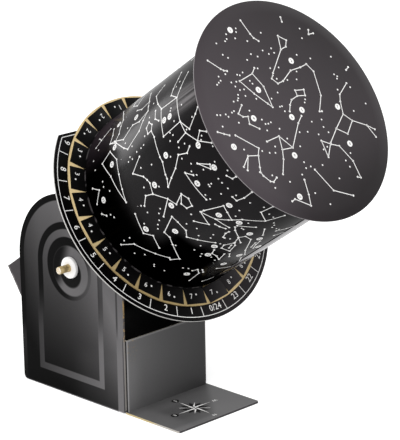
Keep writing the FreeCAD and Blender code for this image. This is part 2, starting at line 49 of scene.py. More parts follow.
# Frames, read from the joints: x to the right in the dial, y up in it, z out along the pole

tiltPoint = Vector(joints["latitude_tilt"]["pos_m"])
polePoint = Vector(joints["drum_spin"]["pos_m"])
poleAxis = Vector(joints["drum_spin"]["axis"]).normalized()
rightAxis = Vector((1, 0, 0))
dialUp = poleAxis.cross(rightAxis)
axisRise = (polePoint - tiltPoint).dot(dialUp)


def frameAt(origin):
    turn = Matrix((rightAxis, dialUp, poleAxis)).transposed().to_4x4()
    return Matrix.Translation(origin) @ turn


headFrame = frameAt(tiltPoint)
polarFrame = frameAt(tiltPoint + dialUp * axisRise)


def span(name, place=Matrix.Identity(4)):
    # lowest and highest corner of a CAD node, seen in a frame of its own
    back = place.inverted()
    points = [back @ vertex.co for vertex in nodes[name].data.vertices]
    return (Vector(min(p[i] for p in points) for i in range(3)),
            Vector(max(p[i] for p in points) for i in range(3)))


drumLow, drumHigh = span("star_cylinder", polarFrame)
discLow, discHigh = span("front_disc", polarFrame)
dialLow, dialHigh = span("hour_plate", polarFrame)
tabLow, tabHigh = span("glue_tabs", polarFrame)
drumRadius = drumHigh.x

# Modelling helpers


def clearSelection():
    if bpy.context.object and bpy.context.object.mode != "OBJECT":
        bpy.ops.object.mode_set(mode="OBJECT")
    bpy.ops.object.select_all(action="DESELECT")


def start(kind, name, **settings):
    clearSelection()
    getattr(bpy.ops.mesh, "primitive_%s_add" % kind)(**settings)
    piece = bpy.context.object
    piece.name = piece.data.name = name
    return piece


def activate(piece):
    clearSelection()
    piece.select_set(True)
    bpy.context.view_layer.objects.active = piece


def pick(piece, kind, chosen):
    # select vertices, edges or faces of the piece in edit mode, by their place or normal
    mesh = bmesh.from_edit_mesh(piece.data)
    for group in (mesh.verts, mesh.edges, mesh.faces):
        for part in group:
            part.select = False
    for part in list(getattr(mesh, kind)):
        if chosen(part):
            part.select = True
    if kind == "verts":
        mesh.select_flush_mode()
    bmesh.update_edit_mesh(piece.data)


def editing(piece, mode="FACE"):
    activate(piece)
    bpy.ops.object.mode_set(mode="EDIT")
    bpy.ops.mesh.select_mode(type=mode)


def objectMode():
    bpy.ops.object.mode_set(mode="OBJECT")


def applied(piece, kind, **settings):
    activate(piece)
    bpy.ops.object.modifier_add(type=kind)
    modifier = piece.modifiers[-1]
    for key, value in settings.items():
        setattr(modifier, key, value)
    bpy.ops.object.modifier_apply(modifier=modifier.name)
    return piece


def boxPiece(name, low, high, round=0.0):
    # a block between two corners with its edges rounded
    low, high = Vector(low), Vector(high)
    piece = start("cube", name, size=1)
    piece.data.transform(Matrix.Translation((low + high) / 2) @ Matrix.Diagonal(high - low).to_4x4())
    if round:
        applied(piece, "BEVEL", width=round, segments=2, limit_method="ANGLE")
    return piece


def settle(piece, place, angle=30):
    # put the piece's place into its mesh and smooth it where it is round
    piece.data.transform(place)
    activate(piece)
    if angle:
        bpy.ops.object.shade_smooth_by_angle(angle=math.radians(angle))
    return piece


def copyOf(model, place):
    twin = model.copy()
    twin.data = model.data.copy()
    twin.data.transform(place)
    scene.collection.objects.link(twin)
    return twin


def joined(parts, name):
    clearSelection()
    for part in parts:
        part.select_set(True)
    bpy.context.view_layer.objects.active = parts[0]
    if len(parts) > 1:
        bpy.ops.object.join()
    piece = bpy.context.object
    piece.name = piece.data.name = name
    return piece


def discard(*pieces):
    for piece in pieces:
        bpy.data.objects.remove(piece)


def finished(piece, body, slot, finish, *replaced):
    piece.data.materials.clear()
    piece.data.materials.append(finish)
    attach(piece, body)
    if replaced:
        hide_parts(*replaced)
    return piece


# Shader helpers


class Socket:
    # wraps a node's output, so that shader maths reads as plain expressions
    def __init__(self, finish, socket):
        self.finish, self.socket = finish, socket

    def maths(self, operation, *others):
        values = dict(enumerate((self,) + others))
        return self.finish.node("Math", {"operation": operation}, values)

    def __add__(self, other):
        return self.maths("ADD", other)

    def __sub__(self, other):
        return self.maths("SUBTRACT", other)

    def __mul__(self, other):
        return self.maths("MULTIPLY", other)

    def __rsub__(self, other):
        return self.finish.node("Math", {"operation": "SUBTRACT"}, {0: other, 1: self})

    def __pow__(self, other):
        return self.maths("POWER", other)

    __radd__, __rmul__ = __add__, __mul__

    def __abs__(self):
        return self.maths("ABSOLUTE")

    def least(self, other):
        return self.maths("MINIMUM", other)

    def most(self, other):
        return self.maths("MAXIMUM", other)

    def rise(self, low, high):
        # 0 below low, 1 above high, smooth between; high below low turns it over
        return self.finish.node("MapRange", {"interpolation_type": "SMOOTHSTEP"},
                                {"Value": self, "From Min": low, "From Max": high})

    def band(self, low, high, soft):
        return self.rise(low - soft, low + soft) * self.rise(high + soft, high - soft)


class Nodes:
    # makes nodes in a tree of a material or of the world
    def __init__(self, tree):
        self.tree = tree

    def node(self, kind, settings=None, sockets=None, out=0):
        made = self.tree.nodes.new("ShaderNode" + kind)
        for key, value in (settings or {}).items():
            if key == "stops":
                ramp = made.color_ramp.elements
                while len(ramp) < len(value):
                    ramp.new(0.5)
                for stop, (position, colour) in zip(ramp, value):
                    stop.position, stop.color = position, colour
            else:
                setattr(made, key, value)
        for key, value in (sockets or {}).items():
            if isinstance(value, Socket):
                self.tree.links.new(value.socket, made.inputs[key])
            else:
                made.inputs[key].default_value = value
        return Socket(self, made.outputs[out])

    def seen(self):
        # 1 for the camera and in gloss and glass, 0 where a surface is lit from
        camera, glossy, through = (self.node("LightPath", out=name) for name in
                                   ("Is Camera Ray", "Is Glossy Ray", "Is Transmission Ray"))
        return camera.most(glossy).most(through)


class Finish(Nodes):
    def __init__(self, name, roughness=0.6, specular=0.5, **settings):
        self.material = bpy.data.materials.new(name)
        self.material.use_nodes = True
        Nodes.__init__(self, self.material.node_tree)
        self.shader = self.tree.nodes["Principled BSDF"]
        self.shader.inputs["Roughness"].default_value = roughness
        self.shader.inputs["Specular IOR Level"].default_value = specular
        for key, value in settings.items():
            self.shader.inputs[key.replace("_", " ")].default_value = value

    def at(self, origin=(0, 0, 0), axes=None):
        # x, y and z in mm from an origin, along the row frame's axes or three given ones
        place = self.node("TexCoord", out="Object")
        moved = self.node("VectorMath", {"operation": "SUBTRACT"}, {0: place, 1: origin})
        if axes is None:
            scaled = self.node("VectorMath", {"operation": "SCALE"},
                               {0: moved, "Scale": 1 / mm})
            return [self.node("SeparateXYZ", None, {0: scaled}, out) for out in range(3)]
        return [self.node("VectorMath", {"operation": "DOT_PRODUCT"}, {0: moved, 1: axis},
                          "Value") * (1 / mm) for axis in axes]

    def noise(self, scale, detail=3.0, roughness=0.55, stretch=None):
        # scale is in features per metre; stretch squeezes the pattern along the axes
        place = self.node("TexCoord", out="Object")
        if stretch:
            place = self.node("Mapping", {}, {"Vector": place, "Scale": stretch})
        return self.node("TexNoise", {}, {"Vector": place, "Scale": scale, "Detail": detail,
                                          "Roughness": roughness})

    def mix(self, factor, first, second):
        return self.node("Mix", {"data_type": "RGBA"}, {0: factor, 6: first, 7: second}, 2)

    def feed(self, name, value):
        self.tree.links.new(value.socket, self.shader.inputs[name])
        return self

    def matt(self, factor, colour):
        # where the factor is 1 the surface is plain and without gloss
        plain = self.node("BsdfPrincipled", {}, {"Base Color": colour, "Roughness": 1.0,
                                                 "Specular IOR Level": 0.0})
        mixed = self.node("MixShader", {}, {0: factor, 1: Socket(self, self.shader.outputs[0]),
                                            2: plain})
        self.tree.links.new(mixed.socket, self.tree.nodes["Material Output"].inputs["Surface"])
        return self.material

    def bump(self, height, strength, distance):
        normal = self.node("Bump", {}, {"Height": height, "Strength": strength,
                                        "Distance": distance})
        return self.feed("Normal", normal)

    def edge(self, normalAxis):
        # 1 where the surface faces along the given axis, either way
        facing = self.node("NewGeometry", out="Normal")
        part = self.node("VectorMath", {"operation": "DOT_PRODUCT"},
                         {0: facing, 1: normalAxis}, "Value")
        return abs(part).rise(0.5, 0.8)


def tone(red, green=None, blue=None):
    # a colour as it is seen on screen, 0 to 255, turned into a shader's linear one
    green, blue = (red if green is None else green), (red if blue is None else blue)
    return tuple((value / 255) ** 2.2 for value in (red, green, blue)) + (1.0,)


# Camera, stage and light

view = {
    "target": tiltPoint,
    "azimuth": -44.676, "elevation": 16.328, "roll": -0.976,
    "distance": 1.7215,
    "shiftRight": -0.0702, "shiftUp": -0.0279,     # of the target in the picture, in metres
    "sensor": 36.0, "lens": 174.8,
}


def makeCamera():
    azimuth, elevation, roll = (math.radians(view[key]) for key in ("azimuth", "elevation", "roll"))
    back = Vector((math.sin(azimuth) * math.cos(elevation),
                   -math.cos(azimuth) * math.cos(elevation), math.sin(elevation)))
    right = (-back).cross(Vector((0, 0, 1))).normalized()
    above = right.cross(-back)
    turned = right * math.cos(roll) + above * math.sin(roll)
    upright = above * math.cos(roll) - right * math.sin(roll)
    bpy.ops.object.camera_add()
    camera = bpy.context.object
    camera.name = "camera"
    camera.data.sensor_fit = "VERTICAL"
    camera.data.sensor_height = view["sensor"]
    camera.data.lens = view["lens"]
    camera.data.clip_start, camera.data.clip_end = 0.05, 50
    spot = (view["target"] + back * view["distance"] - turned * view["shiftRight"]
            - upright * view["shiftUp"])
    camera.matrix_world = (Matrix.Translation(spot)
                           @ Matrix((turned, upright, back)).transposed().to_4x4())
    scene.camera = camera


light = {
    "worldSoft": 0.72,          # what the surroundings give
    "floor": tone(238, 238, 238),
    "floorLift": 0.42,          # seen by the camera only, so that the floor is near white
    "lamps": [
        # where it stands, its size and its power: key, fill, and one behind for the film's sheen
        {"at": (-1.5, -1.3, 1.9), "size": 1.4, "watts": 40},
        {"at": (2.0, -0.3, 1.3), "size": 1.6, "watts": 14},
        {"at": (-0.42, 2.1, 0.5), "size": 0.85, "watts": 17},
    ],
}


def makeStage():
    floor = start("plane", "floor", size=8)
    paper = Finish("pale_floor", roughness=0.95, specular=0.0)
    paper.shader.inputs["Base Color"].default_value = light["floor"]
    glow = paper.node("Emission", {}, {"Color": (1, 1, 1, 1), "Strength": light["floorLift"]})
    none = paper.node("Emission", {}, {"Color": (0, 0, 0, 1), "Strength": 0.0})
    chosen = paper.node("MixShader", {}, {0: paper.seen(), 1: none, 2: glow})
    both = paper.node("AddShader", {}, {0: Socket(paper, paper.shader.outputs[0]), 1: chosen})
    paper.tree.links.new(both.socket, paper.tree.nodes["Material Output"].inputs["Surface"])
    floor.data.materials.append(paper.material)
    world = bpy.data.worlds.new("soft_room")
    scene.world = world
    world.use_nodes = True
    room = Nodes(world.node_tree)
    soft = room.node("Background", {}, {"Color": (1, 1, 1, 1), "Strength": light["worldSoft"]})
    white = room.node("Background", {}, {"Color": (1, 1, 1, 1), "Strength": 1.0})
    chosen = room.node("MixShader", {}, {0: room.seen(), 1: soft, 2: white})
    room.tree.links.new(chosen.socket, room.tree.nodes["World Output"].inputs["Surface"])
    for index, lamp in enumerate(light["lamps"]):
        place = Vector(lamp["at"])
        bpy.ops.object.light_add(type="AREA", location=place)
        made = bpy.context.object
        made.name = "soft_lamp_%d" % index
        made.data.size = lamp["size"]
        made.data.energy = lamp["watts"]
        made.rotation_euler = (Vector((0, -0.05, 0.15)) - place).to_track_quat("-Z", "Y").to_euler()
    scene.view_settings.view_transform = "Standard"


makeCamera()
makeStage()
print("camera, stage and lamps made")

# Finishes


def cardGrain(finish, strength=0.25, scale=900.0, distance=0.00006):
    # fine fibre of card: a little height and a little unevenness
    fibre = finish.noise(scale, 4.0, 0.6)
    finish.bump(fibre, strength, distance)
    return fibre


def cardFinish(name, shade, lighter, roughness=0.75, specular=0.3):
    # plain printed or dyed card: base shade with faint cloudy wear
    finish = Finish(name, roughness, specular)
    fibre = cardGrain(finish)
    cloud = finish.noise(35.0, 2.0)
    wear = cloud.rise(0.42, 0.75) * 0.5 + fibre.rise(0.35, 0.8) * 0.35
    finish.feed("Base Color", finish.mix(wear, shade, lighter))
    finish.feed("Roughness", cloud * 0.12 + (roughness - 0.06))
    return finish


sidePrint = {
    # all in mm on the plate: across it from the axle, to the back positive, and up
    "archAcross": 2.0, "archUp": 107.0, "archRadius": 61.0,
    "border": 5.0,
    "innerArch": (32.5, 38.2),
    "boss": (2.6, 107.0, 26.0),         # dark outer ring: centre and radius
    "bossLight": (1.0, 105.4, 20.6),
    "bossDark": (1.0, 104.0, 12.4),
    "frame": (-35.5, 42.3, 14.6),       # light printed frame: front, back and bottom
    "frameWide": 5.8,
    "inside": (43.7, 44.6),     # from the middle: unprinted below, printed above
}


def sideFinish():
    finish = Finish("side_print", 0.45, 0.025)
    fibre = cardGrain(finish, 0.18)
    x, across, up = finish.at()
    p = sidePrint

    def radius(centreAcross, centreUp, onlyAbove=False):
        high = up - centreUp
        if onlyAbove:
            high = high.most(0.0)
        return ((across - centreAcross) ** 2 + high ** 2) ** 0.5

    arch = radius(p["archAcross"], p["archUp"], True)
    # the ground: soft light falling from the upper front
    frontness = finish.node("MapRange", {"interpolation_type": "LINEAR"},
                            {"Value": across, "From Min": 60.0, "From Max": -60.0})
    cubed = frontness ** 3.0
    level = frontness * 0.05 + cubed * 0.27 + 0.20 + (up - 75.0) * (cubed * 0.0022 + 0.0019)
    level = level.least(0.45)
    backEdge = across.rise(52.0, 60.0) * up.rise(40.0, 90.0)
    level = level - across.rise(35.0, 55.0) * 0.04 - backEdge * 0.05
    lowerFront = across.rise(5.0, -16.0) * up.rise(50.0, 34.0)
    level = level + lowerFront * 0.03
    # the light frame round the lower panel, fading out upwards
    front, back, bottom = p["frame"]
    wide = p["frameWide"]
    outside = across.band(front, back, 0.35) * up.rise(bottom - 0.3, bottom + 0.3)
    panel = across.band(front + wide, back - wide, 0.35) * up.rise(bottom + wide - 0.4,
                                                                    bottom + wide + 0.4)
    frameBand = (outside - panel) * up.rise(76.0, 46.0)
    level = level * (1.0 - frameBand) + frameBand * (frontness * 0.29 + 0.20)
    # paler strip at the back edge and a light one along the front edge
    level = level + across.rise(57.6, 58.6) * up.rise(62.0, 40.0) * 0.09
    strip = across.band(-58.3, -50.9, 0.4) * up.rise(80.0, 45.0)
    fold = across.band(-58.3, -57.5, 0.2) * up.rise(66.0, 58.0)
    level = level * (1.0 - strip) + strip * 0.45 - fold * 0.16
    line = across.band(-52.6, -50.8, 0.7) * up.band(66.0, 104.0, 8.0)
    level = level - line * 0.17
    # black border and inner arch
    border = arch.rise(p["archRadius"] - p["border"] - 0.8, p["archRadius"] - p["border"] + 0.4)
    border = border * up.rise(30.0, 75.0) * across.rise(-40.0, -20.0)
    low, high = p["innerArch"]
    inner = arch.band(low, high, 0.5) * up.rise(58.0, 90.0)
    inner = inner * (1.0 - across.rise(-20.0, -34.0) * 0.6)
    # the boss: a dark ring, thick at the upper back, and lighter rings inside it
    ringAcross, ringUp, ringRadius = p["boss"]
    bossEdge = radius(ringAcross, ringUp).rise(ringRadius + 0.6, ringRadius - 0.6)
    lightAcross, lightUp, lightRadius = p["bossLight"]
    lightEdge = radius(lightAcross, lightUp).rise(lightRadius + 0.9, lightRadius - 0.9)
    darkAcross, darkUp, darkRadius = p["bossDark"]
    darkEdge = radius(darkAcross, darkUp).rise(darkRadius + 1.0, darkRadius - 1.0)
    towardBack = (across + (up - 107.0) * 0.6).rise(-28.0, 2.0)
    ring = bossEdge * (1.0 - lightEdge) * (towardBack * 0.85 + 0.15)
    level = level * (1.0 - border) + border * 0.02
    black = inner.most(ring)
    level = level * (1.0 - black) + black * 0.09
    shaded = (across + (up - 107.0) * 0.3).rise(3.0, 17.0) * up.rise(84.0, 99.0)
    level = level * (1.0 - lightEdge) + lightEdge * (0.43 - shaded * 0.33)
    level = level * (1.0 - darkEdge) + darkEdge * 0.12
    level = level + (fibre - 0.5) * 0.02 + up.rise(1.2, 0.5) * 0.32
    shown = ((level ** 2.2) * 0.93 - 0.004).most(0.001)
    face = finish.mix(shown, (0.0, 0.0, 0.0, 1), (1.0, 0.965, 0.99, 1))
    frontEdge = across.rise(-58.6, -58.9)
    inside = finish.mix(fibre.rise(0.3, 0.7), tone(26, 25, 26), tone(36, 35, 36))
    face = finish.mix(abs(x).rise(*p["inside"]), inside, face)
    fleck = finish.noise(260.0, 3.0).rise(0.46, 0.56)
    upper = finish.mix(fleck, tone(96, 92, 92), tone(178, 150, 104))
    front = finish.mix(up.rise(62.0, 59.0), upper, tone(140, 136, 132))
    raw = finish.mix(frontEdge, tone(74, 72, 72), front)
    finish.feed("Base Color", finish.mix(finish.edge((1, 0, 0)), raw, face))
    return finish.material


def wallFinish():
    # folded front wall: printed grey that darkens to the lower right, with painted shade along its foot
    finish = Finish("wall_print", 0.5, 0.08)
    fibre = cardGrain(finish, 0.2)
    across, deep, up = finish.at()
    level = 0.32 + (up - 30.0) * 0.0009 - across * 0.0015 + (fibre - 0.5) * 0.025
    # painted shade along the foot of the wall, where it meets the base plate
    level = level - up.rise(14.0, 2.0) * 0.015
    level = level + across.rise(-24.0, -42.0) * up.rise(56.0, 30.0) * 0.035
    rim = (across.rise(-41.8, -42.6)).most(up.rise(59.6, 60.4)).most(across.rise(41.6, 42.4) * 0.4)
    level = level + rim * 0.14
    shown = level.most(0.03) ** 2.2
    face = finish.mix(shown, (0.0, 0.0, 0.0, 1), (1.0, 0.985, 1.0, 1))
    fleck = finish.noise(560.0, 2.0).rise(0.6, 0.66) * up.rise(34.0, 60.0)
    face = finish.mix(fleck * across.rise(-28.0, -42.0) * 0.6, face, tone(160, 128, 70))
    outside = deep.rise(-60.2, -60.6)
    back = finish.mix(fibre.rise(0.3, 0.7), tone(30, 29, 30), tone(42, 41, 42))
    topEdge = up.rise(60.7, 60.95)
    inside = finish.mix(topEdge, back, tone(205, 198, 180))
    finish.feed("Base Color", finish.mix(outside, inside, face))
    return finish.material


def floorFinish():
    # base plate: grey printed flap in front, plain card inside, light raw edges
    finish = Finish("base_print", 0.5, 0.08)
    fibre = cardGrain(finish, 0.2)
    across, deep, up = finish.at()
    cloud = finish.noise(18.0, 2.0)
    # paler beyond a slant from the wall's right end to the middle of the front edge
    slant = (across - 21.0 + (deep + 88.0) * -0.88).rise(-4.0, 4.0)
    level = 0.345 + (cloud - 0.5) * 0.05 + slant * 0.055 + (fibre - 0.5) * 0.03
    # painted shade, darker from just in front of the wall backwards; paler to the left
    level = level - deep.rise(-72.0, -62.0) * 0.025 + across.rise(-22.0, -34.0) * 0.03
    middle = deep.band(-103.0, -78.0, 5.0) * across.rise(10.0, -4.0) * across.rise(-30.0, -22.0)
    level = level - middle * 0.03 + deep.rise(-109.0, -115.0) * slant.rise(1.0, 0.0) * 0.05
    shown = level ** 2.2
    face = finish.mix(shown, (0.0, 0.0, 0.0, 1), (1.0, 0.985, 1.0, 1))
    edge = finish.mix(fibre.rise(0.3, 0.7), tone(150, 146, 146), tone(178, 174, 172))
    bare = (deep.rise(-86.0, -100.0) * 0.9).most(cloud.rise(0.5, 0.7))
    leftEdge = finish.mix(bare, tone(196, 178, 136), tone(186, 183, 180))
    edge = finish.mix(deep.rise(-118.0, -118.6), edge, tone(62, 60, 62))
    edge = finish.mix(across.rise(-43.6, -44.2), edge, leftEdge)
    finish.feed("Base Color", finish.mix(finish.edge((0, 0, 1)), edge, face))
    return finish.material


def dialSheen(finish):
    # painted sheen: the black print is drawn greyer to the lower right of the dial, where a soft
    # reflection lies
    side, up, deep = finish.at(tuple(polarFrame.translation), (rightAxis, dialUp, poleAxis))
    return (side * 0.8 - up * 0.6).rise(30.0, 92.0)


def dialFinish():
    # black printed hour plate with a light cut edge
    finish = Finish("dial_black", 0.42, 0.05)
    fibre = cardGrain(finish, 0.2)
    cloud = finish.noise(22.0, 2.0)
    face = finish.mix(cloud.rise(0.3, 0.8) * 0.6 + fibre * 0.2, tone(4, 3, 4), tone(12, 11, 12))
    # painted sheen, greyer to the lower right
    face = finish.mix(dialSheen(finish), face, tone(44, 41, 43))
    edge = finish.mix(fibre.rise(0.3, 0.7), tone(176, 174, 172), tone(205, 203, 200))
    front = finish.edge(tuple(poleAxis))
    finish.feed("Base Color", finish.mix(front, edge, face))
    finish.feed("Roughness", cloud * 0.16 + 0.34)
    return finish.material


def tabFinish():
    finish = Finish("tab_black", 0.5, 0.06)
    fibre = cardGrain(finish, 0.2)
    side, up, deep = finish.at(tuple(polarFrame.translation), (rightAxis, dialUp, poleAxis))
    radius = (side ** 2 + up ** 2) ** 0.5
    face = finish.mix(fibre.rise(0.3, 0.8), tone(5, 4, 5), tone(11, 10, 11))
    # painted sheen, greyer to the lower right, as on the dial
    face = finish.mix(dialSheen(finish), face, tone(52, 49, 51))
    # painted highlight: a thin pale line where the tabs fold up against the film, broken up by noise
    foldGleam = finish.noise(160.0, 3.0).rise(0.48, 0.58) * radius.band(73.6, 74.6, 0.2)
    finish.feed("Base Color", finish.mix(foldGleam * 0.8, face, tone(74, 71, 72)))
    return finish.material


def tanFinish():
    finish = Finish("tan_board", 0.8, 0.2)
    fibre = cardGrain(finish, 0.35, 700.0, 0.0001)
    cloud = finish.noise(45.0, 3.0)
    fleck = finish.noise(1500.0, 2.0)
    wear = cloud * 0.5 + fibre.rise(0.35, 0.75) * 0.4
    face = finish.mix(wear, tone(200, 176, 128), tone(232, 208, 160))
    # it lies in shade to the lower left of the dial
    side, up, deep = finish.at(tuple(polarFrame.translation), (rightAxis, dialUp, poleAxis))
    shade = (side * -0.64 - up * 0.77).rise(50.0, 88.0)
    face = finish.mix(shade, face, tone(152, 132, 92))
    finish.feed("Base Color", finish.mix(fleck.rise(0.62, 0.75) * 0.35, face, tone(150, 124, 86)))
    return finish.material


def filmFinish():
    # printed film: deep black, glossy, faintly scuffed
    finish = Finish("star_film", 0.2, 0.1, Coat_IOR=1.5, Coat_Roughness=0.1,
                    Specular_Tint=(1.0, 0.92, 0.98, 1.0), Coat_Tint=(1.0, 0.95, 0.99, 1.0))
    scuff = finish.noise(14.0, 4.0, 0.6)
    fine = finish.noise(240.0, 3.0)
    side, up, deep = finish.at(tuple(polarFrame.translation), (rightAxis, dialUp, poleAxis))
    base = finish.mix(scuff.rise(0.35, 0.8), tone(4, 3, 4), tone(11, 10, 11))
    # painted highlight: long pale streaks near the disc on its upper left, where a lamp's reflection
    # lies
    streak = finish.node("TexNoise", {"noise_dimensions": "1D"}, {"W": up, "Scale": 0.22,
                                                                  "Detail": 3.0})
    paintedGleam = up.band(30.0, 44.0, 5.0) * deep.rise(188.0, 226.0) * side.rise(0.0, -20.0)
    base = finish.mix(paintedGleam * streak.rise(0.3, 0.65), base, tone(104, 101, 102))
    finish.feed("Base Color", base)
    finish.feed("Roughness", scuff.rise(0.3, 0.8) * 0.10 + 0.19 + fine * 0.04)
    finish.bump(scuff, 0.05, 0.0004)
    # glossier past the edge of the lap
    finish.feed("Coat Weight", side.rise(-7.6, -6.4) * up.rise(-60.0, -70.0))
    # plain and without gloss near its lower end, on the underside and a little along the upper left,
    # with a dark line at the edge of the lap; towards the upper side the plain part is painted grey as
    # a fading sheen
    above = up.rise(-71.0, -67.0)
    lowEnd = deep.rise(132.0, 112.0) * (up.rise(60.0, 40.0) * 0.35 + 0.6)
    under = deep.rise(158.0, 144.0) * up.rise(-30.0, -46.0)
    upper = deep.rise(212.0, 165.0) * up.band(20.0, 62.0, 6.0) * 0.4
    matt = (lowEnd.most(under) * above).most(upper)
    lapLine = side.band(-8.8, -7.3, 0.3) * up.rise(0.0, -40.0)
    matt = matt.most(up.rise(-50.0, -64.0) * 0.35).most(deep.rise(116.0, 106.0) * 0.9).most(lapLine)
    # the plain colour: black, and a painted grey sheen towards the upper side
    return finish.matt(matt, finish.mix(up.rise(30.0, 68.0), tone(3), tone(55, 49, 53)))


def discFinish():
    # printed front disc: satin black that looks dark grey, with a paler cut edge
    finish = Finish("disc_print", 0.42, 0.12)
    fibre = cardGrain(finish, 0.12)
    cloud = finish.noise(11.0, 3.0, 0.5)
    side, up, deep = finish.at(tuple(polarFrame.translation), (rightAxis, dialUp, poleAxis))
    # painted sheen of a soft lamp: paler to the left, darker towards the bottom and a little towards
    # the top
    low = up.rise(-18.0, -90.0) * side.rise(-74.0, -24.0)
    paler = side * -0.0032 + 0.43 - low * 0.42 - up.rise(-10.0, 90.0) * 0.22
    paler = (paler + cloud.rise(0.3, 0.75) * 0.08).most(0.0).least(1.0)
    face = finish.mix(paler, tone(28, 24, 26), tone(80, 74, 78))
    edge = finish.mix(fibre, tone(112, 108, 110), tone(142, 138, 139))
    finish.feed("Base Color", finish.mix(finish.edge(tuple(poleAxis)), edge, face))
    finish.feed("Roughness", cloud * 0.14 + 0.36)
    return finish.material


def inkFinish(name, shade, lighter):
    finish = Finish(name, 0.45, 0.1)
    speck = finish.noise(900.0, 2.0)
    finish.feed("Base Color", finish.mix(speck.rise(0.35, 0.7), shade, lighter))
    return finish.material


def beechFinish():
    # turned dowel: long grain along x, darker flecks, paler sawn ends
    finish = Finish("beech", 0.5, 0.35)
    grain = finish.noise(420.0, 4.0, 0.6, (0.07, 1, 1))
    fleck = finish.noise(900.0, 2.0, 0.5, (0.15, 1, 1))
    wood = finish.mix(grain.rise(0.3, 0.75), tone(172, 148, 98), tone(222, 198, 146))
    wood = finish.mix(fleck.rise(0.62, 0.72) * 0.6, wood, tone(108, 86, 50))
    # painted shadow, broken up by noise: darker between the ring and the end
    along = abs(finish.at()[0])
    end = abs(span("tilt_axle")[0].x) / mm
    dowelShadow = along.band(end - 8.5, end - 3.5, 1.5) * finish.noise(300.0, 3.0).rise(0.3, 0.55)
    wood = finish.mix(dowelShadow * 0.75, wood, tone(104, 90, 58))
    rings = finish.noise(1400.0, 2.0)
    sawn = finish.mix(rings.rise(0.4, 0.6), tone(206, 180, 132), tone(244, 238, 226))
    finish.feed("Base Color", finish.mix(finish.edge((1, 0, 0)), wood, sawn))
    finish.bump(grain, 0.3, 0.0002)
    return finish.material


def plasticFinish(name, shade, lighter, roughness=0.35):
    finish = Finish(name, roughness, 0.5)
    mottle = finish.noise(60.0, 3.0)
    fine = finish.noise(1200.0, 2.0)
    finish.feed("Base Color", finish.mix(mottle, shade, lighter))
    finish.feed("Roughness", mottle * 0.15 + (roughness - 0.05))
    finish.bump(fine, 0.1, 0.00004)
    return finish.material


def metalFinish(name, shade, lighter, roughness=0.3):
    finish = Finish(name, roughness, 0.5, Metallic=1.0)
    brushed = finish.noise(500.0, 3.0, 0.6, (1, 0.1, 1))
    stain = finish.noise(120.0, 2.0)
    finish.feed("Base Color", finish.mix(stain.rise(0.3, 0.8), shade, lighter))
    finish.feed("Roughness", brushed * 0.2 + (roughness - 0.1))
    return finish.material


def glassFinish():
    finish = Finish("clear_glass", 0.02, 0.5, IOR=1.45, Transmission_Weight=1.0)
    dust = finish.noise(300.0, 2.0)
    finish.feed("Base Color", finish.mix(dust.rise(0.5, 0.9), (1, 1, 1, 1), (0.86, 0.88, 0.88, 1)))
    finish.feed("Roughness", dust.rise(0.55, 0.8) * 0.08 + 0.01)
    return finish.material


def sleeveFinish():
    # dyed card, with a painted highlight along the folds of the box, broken up by noise
    finish = cardFinish("sleeve_card", tone(58, 55, 57), tone(78, 75, 77), 0.6, 0.15)
    side, up, deep = finish.at(tuple(tiltPoint), (rightAxis, dialUp, poleAxis))
    low, high = span("head_sleeve", headFrame)
    middle, half = (low + high) / (2 * mm), (high - low) / (2 * mm)
    folds = [abs(place - middle[i]).rise(half[i] - 0.7, half[i] - 0.25)
             for i, place in enumerate((side, up))]
    rearEnd = deep.rise(low.z / mm + 0.7, low.z / mm + 0.2)
    # painted highlight along the long folds and round the rear end
    foldGleam = (folds[0] * folds[1]).most(rearEnd * folds[0].most(folds[1]))
    foldGleam = foldGleam * finish.noise(220.0, 3.0).rise(0.35, 0.6)
    plain = Socket(finish, finish.shader.inputs["Base Color"].links[0].from_socket)
    finish.feed("Base Color", finish.mix(foldGleam * 0.7, plain, tone(140, 136, 134)))
    return finish.material


def batteryFinish():
    # paper jacket with a plain coloured band over a dark ground
    finish = Finish("battery_jacket", 0.4, 0.5)
    fibre = cardGrain(finish, 0.1)
    side, up, deep = finish.at(tuple(tiltPoint), (rightAxis, dialUp, poleAxis))
    label = up.band(-22.0, 22.0, 0.3)
    stripe = up.band(-18.5, -17.0, 0.15).most(up.band(17.0, 18.5, 0.15))
    base = finish.mix(fibre, tone(24, 24, 27), tone(38, 38, 42))
    colour = finish.mix(label, base, tone(60, 84, 128))
    finish.feed("Base Color", finish.mix(stripe, colour, tone(216, 178, 74)))
    return finish.material


blackCard = cardFinish("black_card", tone(14, 13, 14), tone(32, 30, 31), 0.7, 0.1).material
darkCard = sleeveFinish()
greyBoard = cardFinish("grey_board", tone(128, 124, 118), tone(156, 152, 144), 0.85).material
whiteCard = cardFinish("white_card", tone(250, 249, 248), tone(255, 254, 253), 0.6, 0.2).material
sideCard, wallCard, baseCard = sideFinish(), wallFinish(), floorFinish()
dialCard, tabCard, tanBoard = dialFinish(), tabFinish(), tanFinish()
film, discCard = filmFinish(), discFinish()
whiteInk = inkFinish("white_ink", tone(222, 221, 219), tone(240, 239, 238))
blackInk = inkFinish("black_ink", tone(16, 15, 16), tone(30, 29, 30))
beech = beechFinish()
brass = metalFinish("brass", tone(180, 140, 70), tone(214, 178, 104))
glass = glassFinish()
tungsten = metalFinish("filament", tone(90, 88, 86), tone(130, 128, 124), 0.45)
jacket = batteryFinish()
switchPlastic = plasticFinish("switch_plastic", tone(26, 26, 28), tone(44, 44, 46))
sliderPlastic = plasticFinish("slider_plastic", tone(186, 30, 24), tone(206, 46, 38), 0.3)
holderPlastic = plasticFinish("holder_plastic", tone(40, 38, 38), tone(60, 57, 56))
redLead = plasticFinish("red_lead", tone(170, 26, 24), tone(196, 44, 40), 0.45)
blackLead = plasticFinish("black_lead", tone(22, 22, 24), tone(40, 40, 42), 0.45)

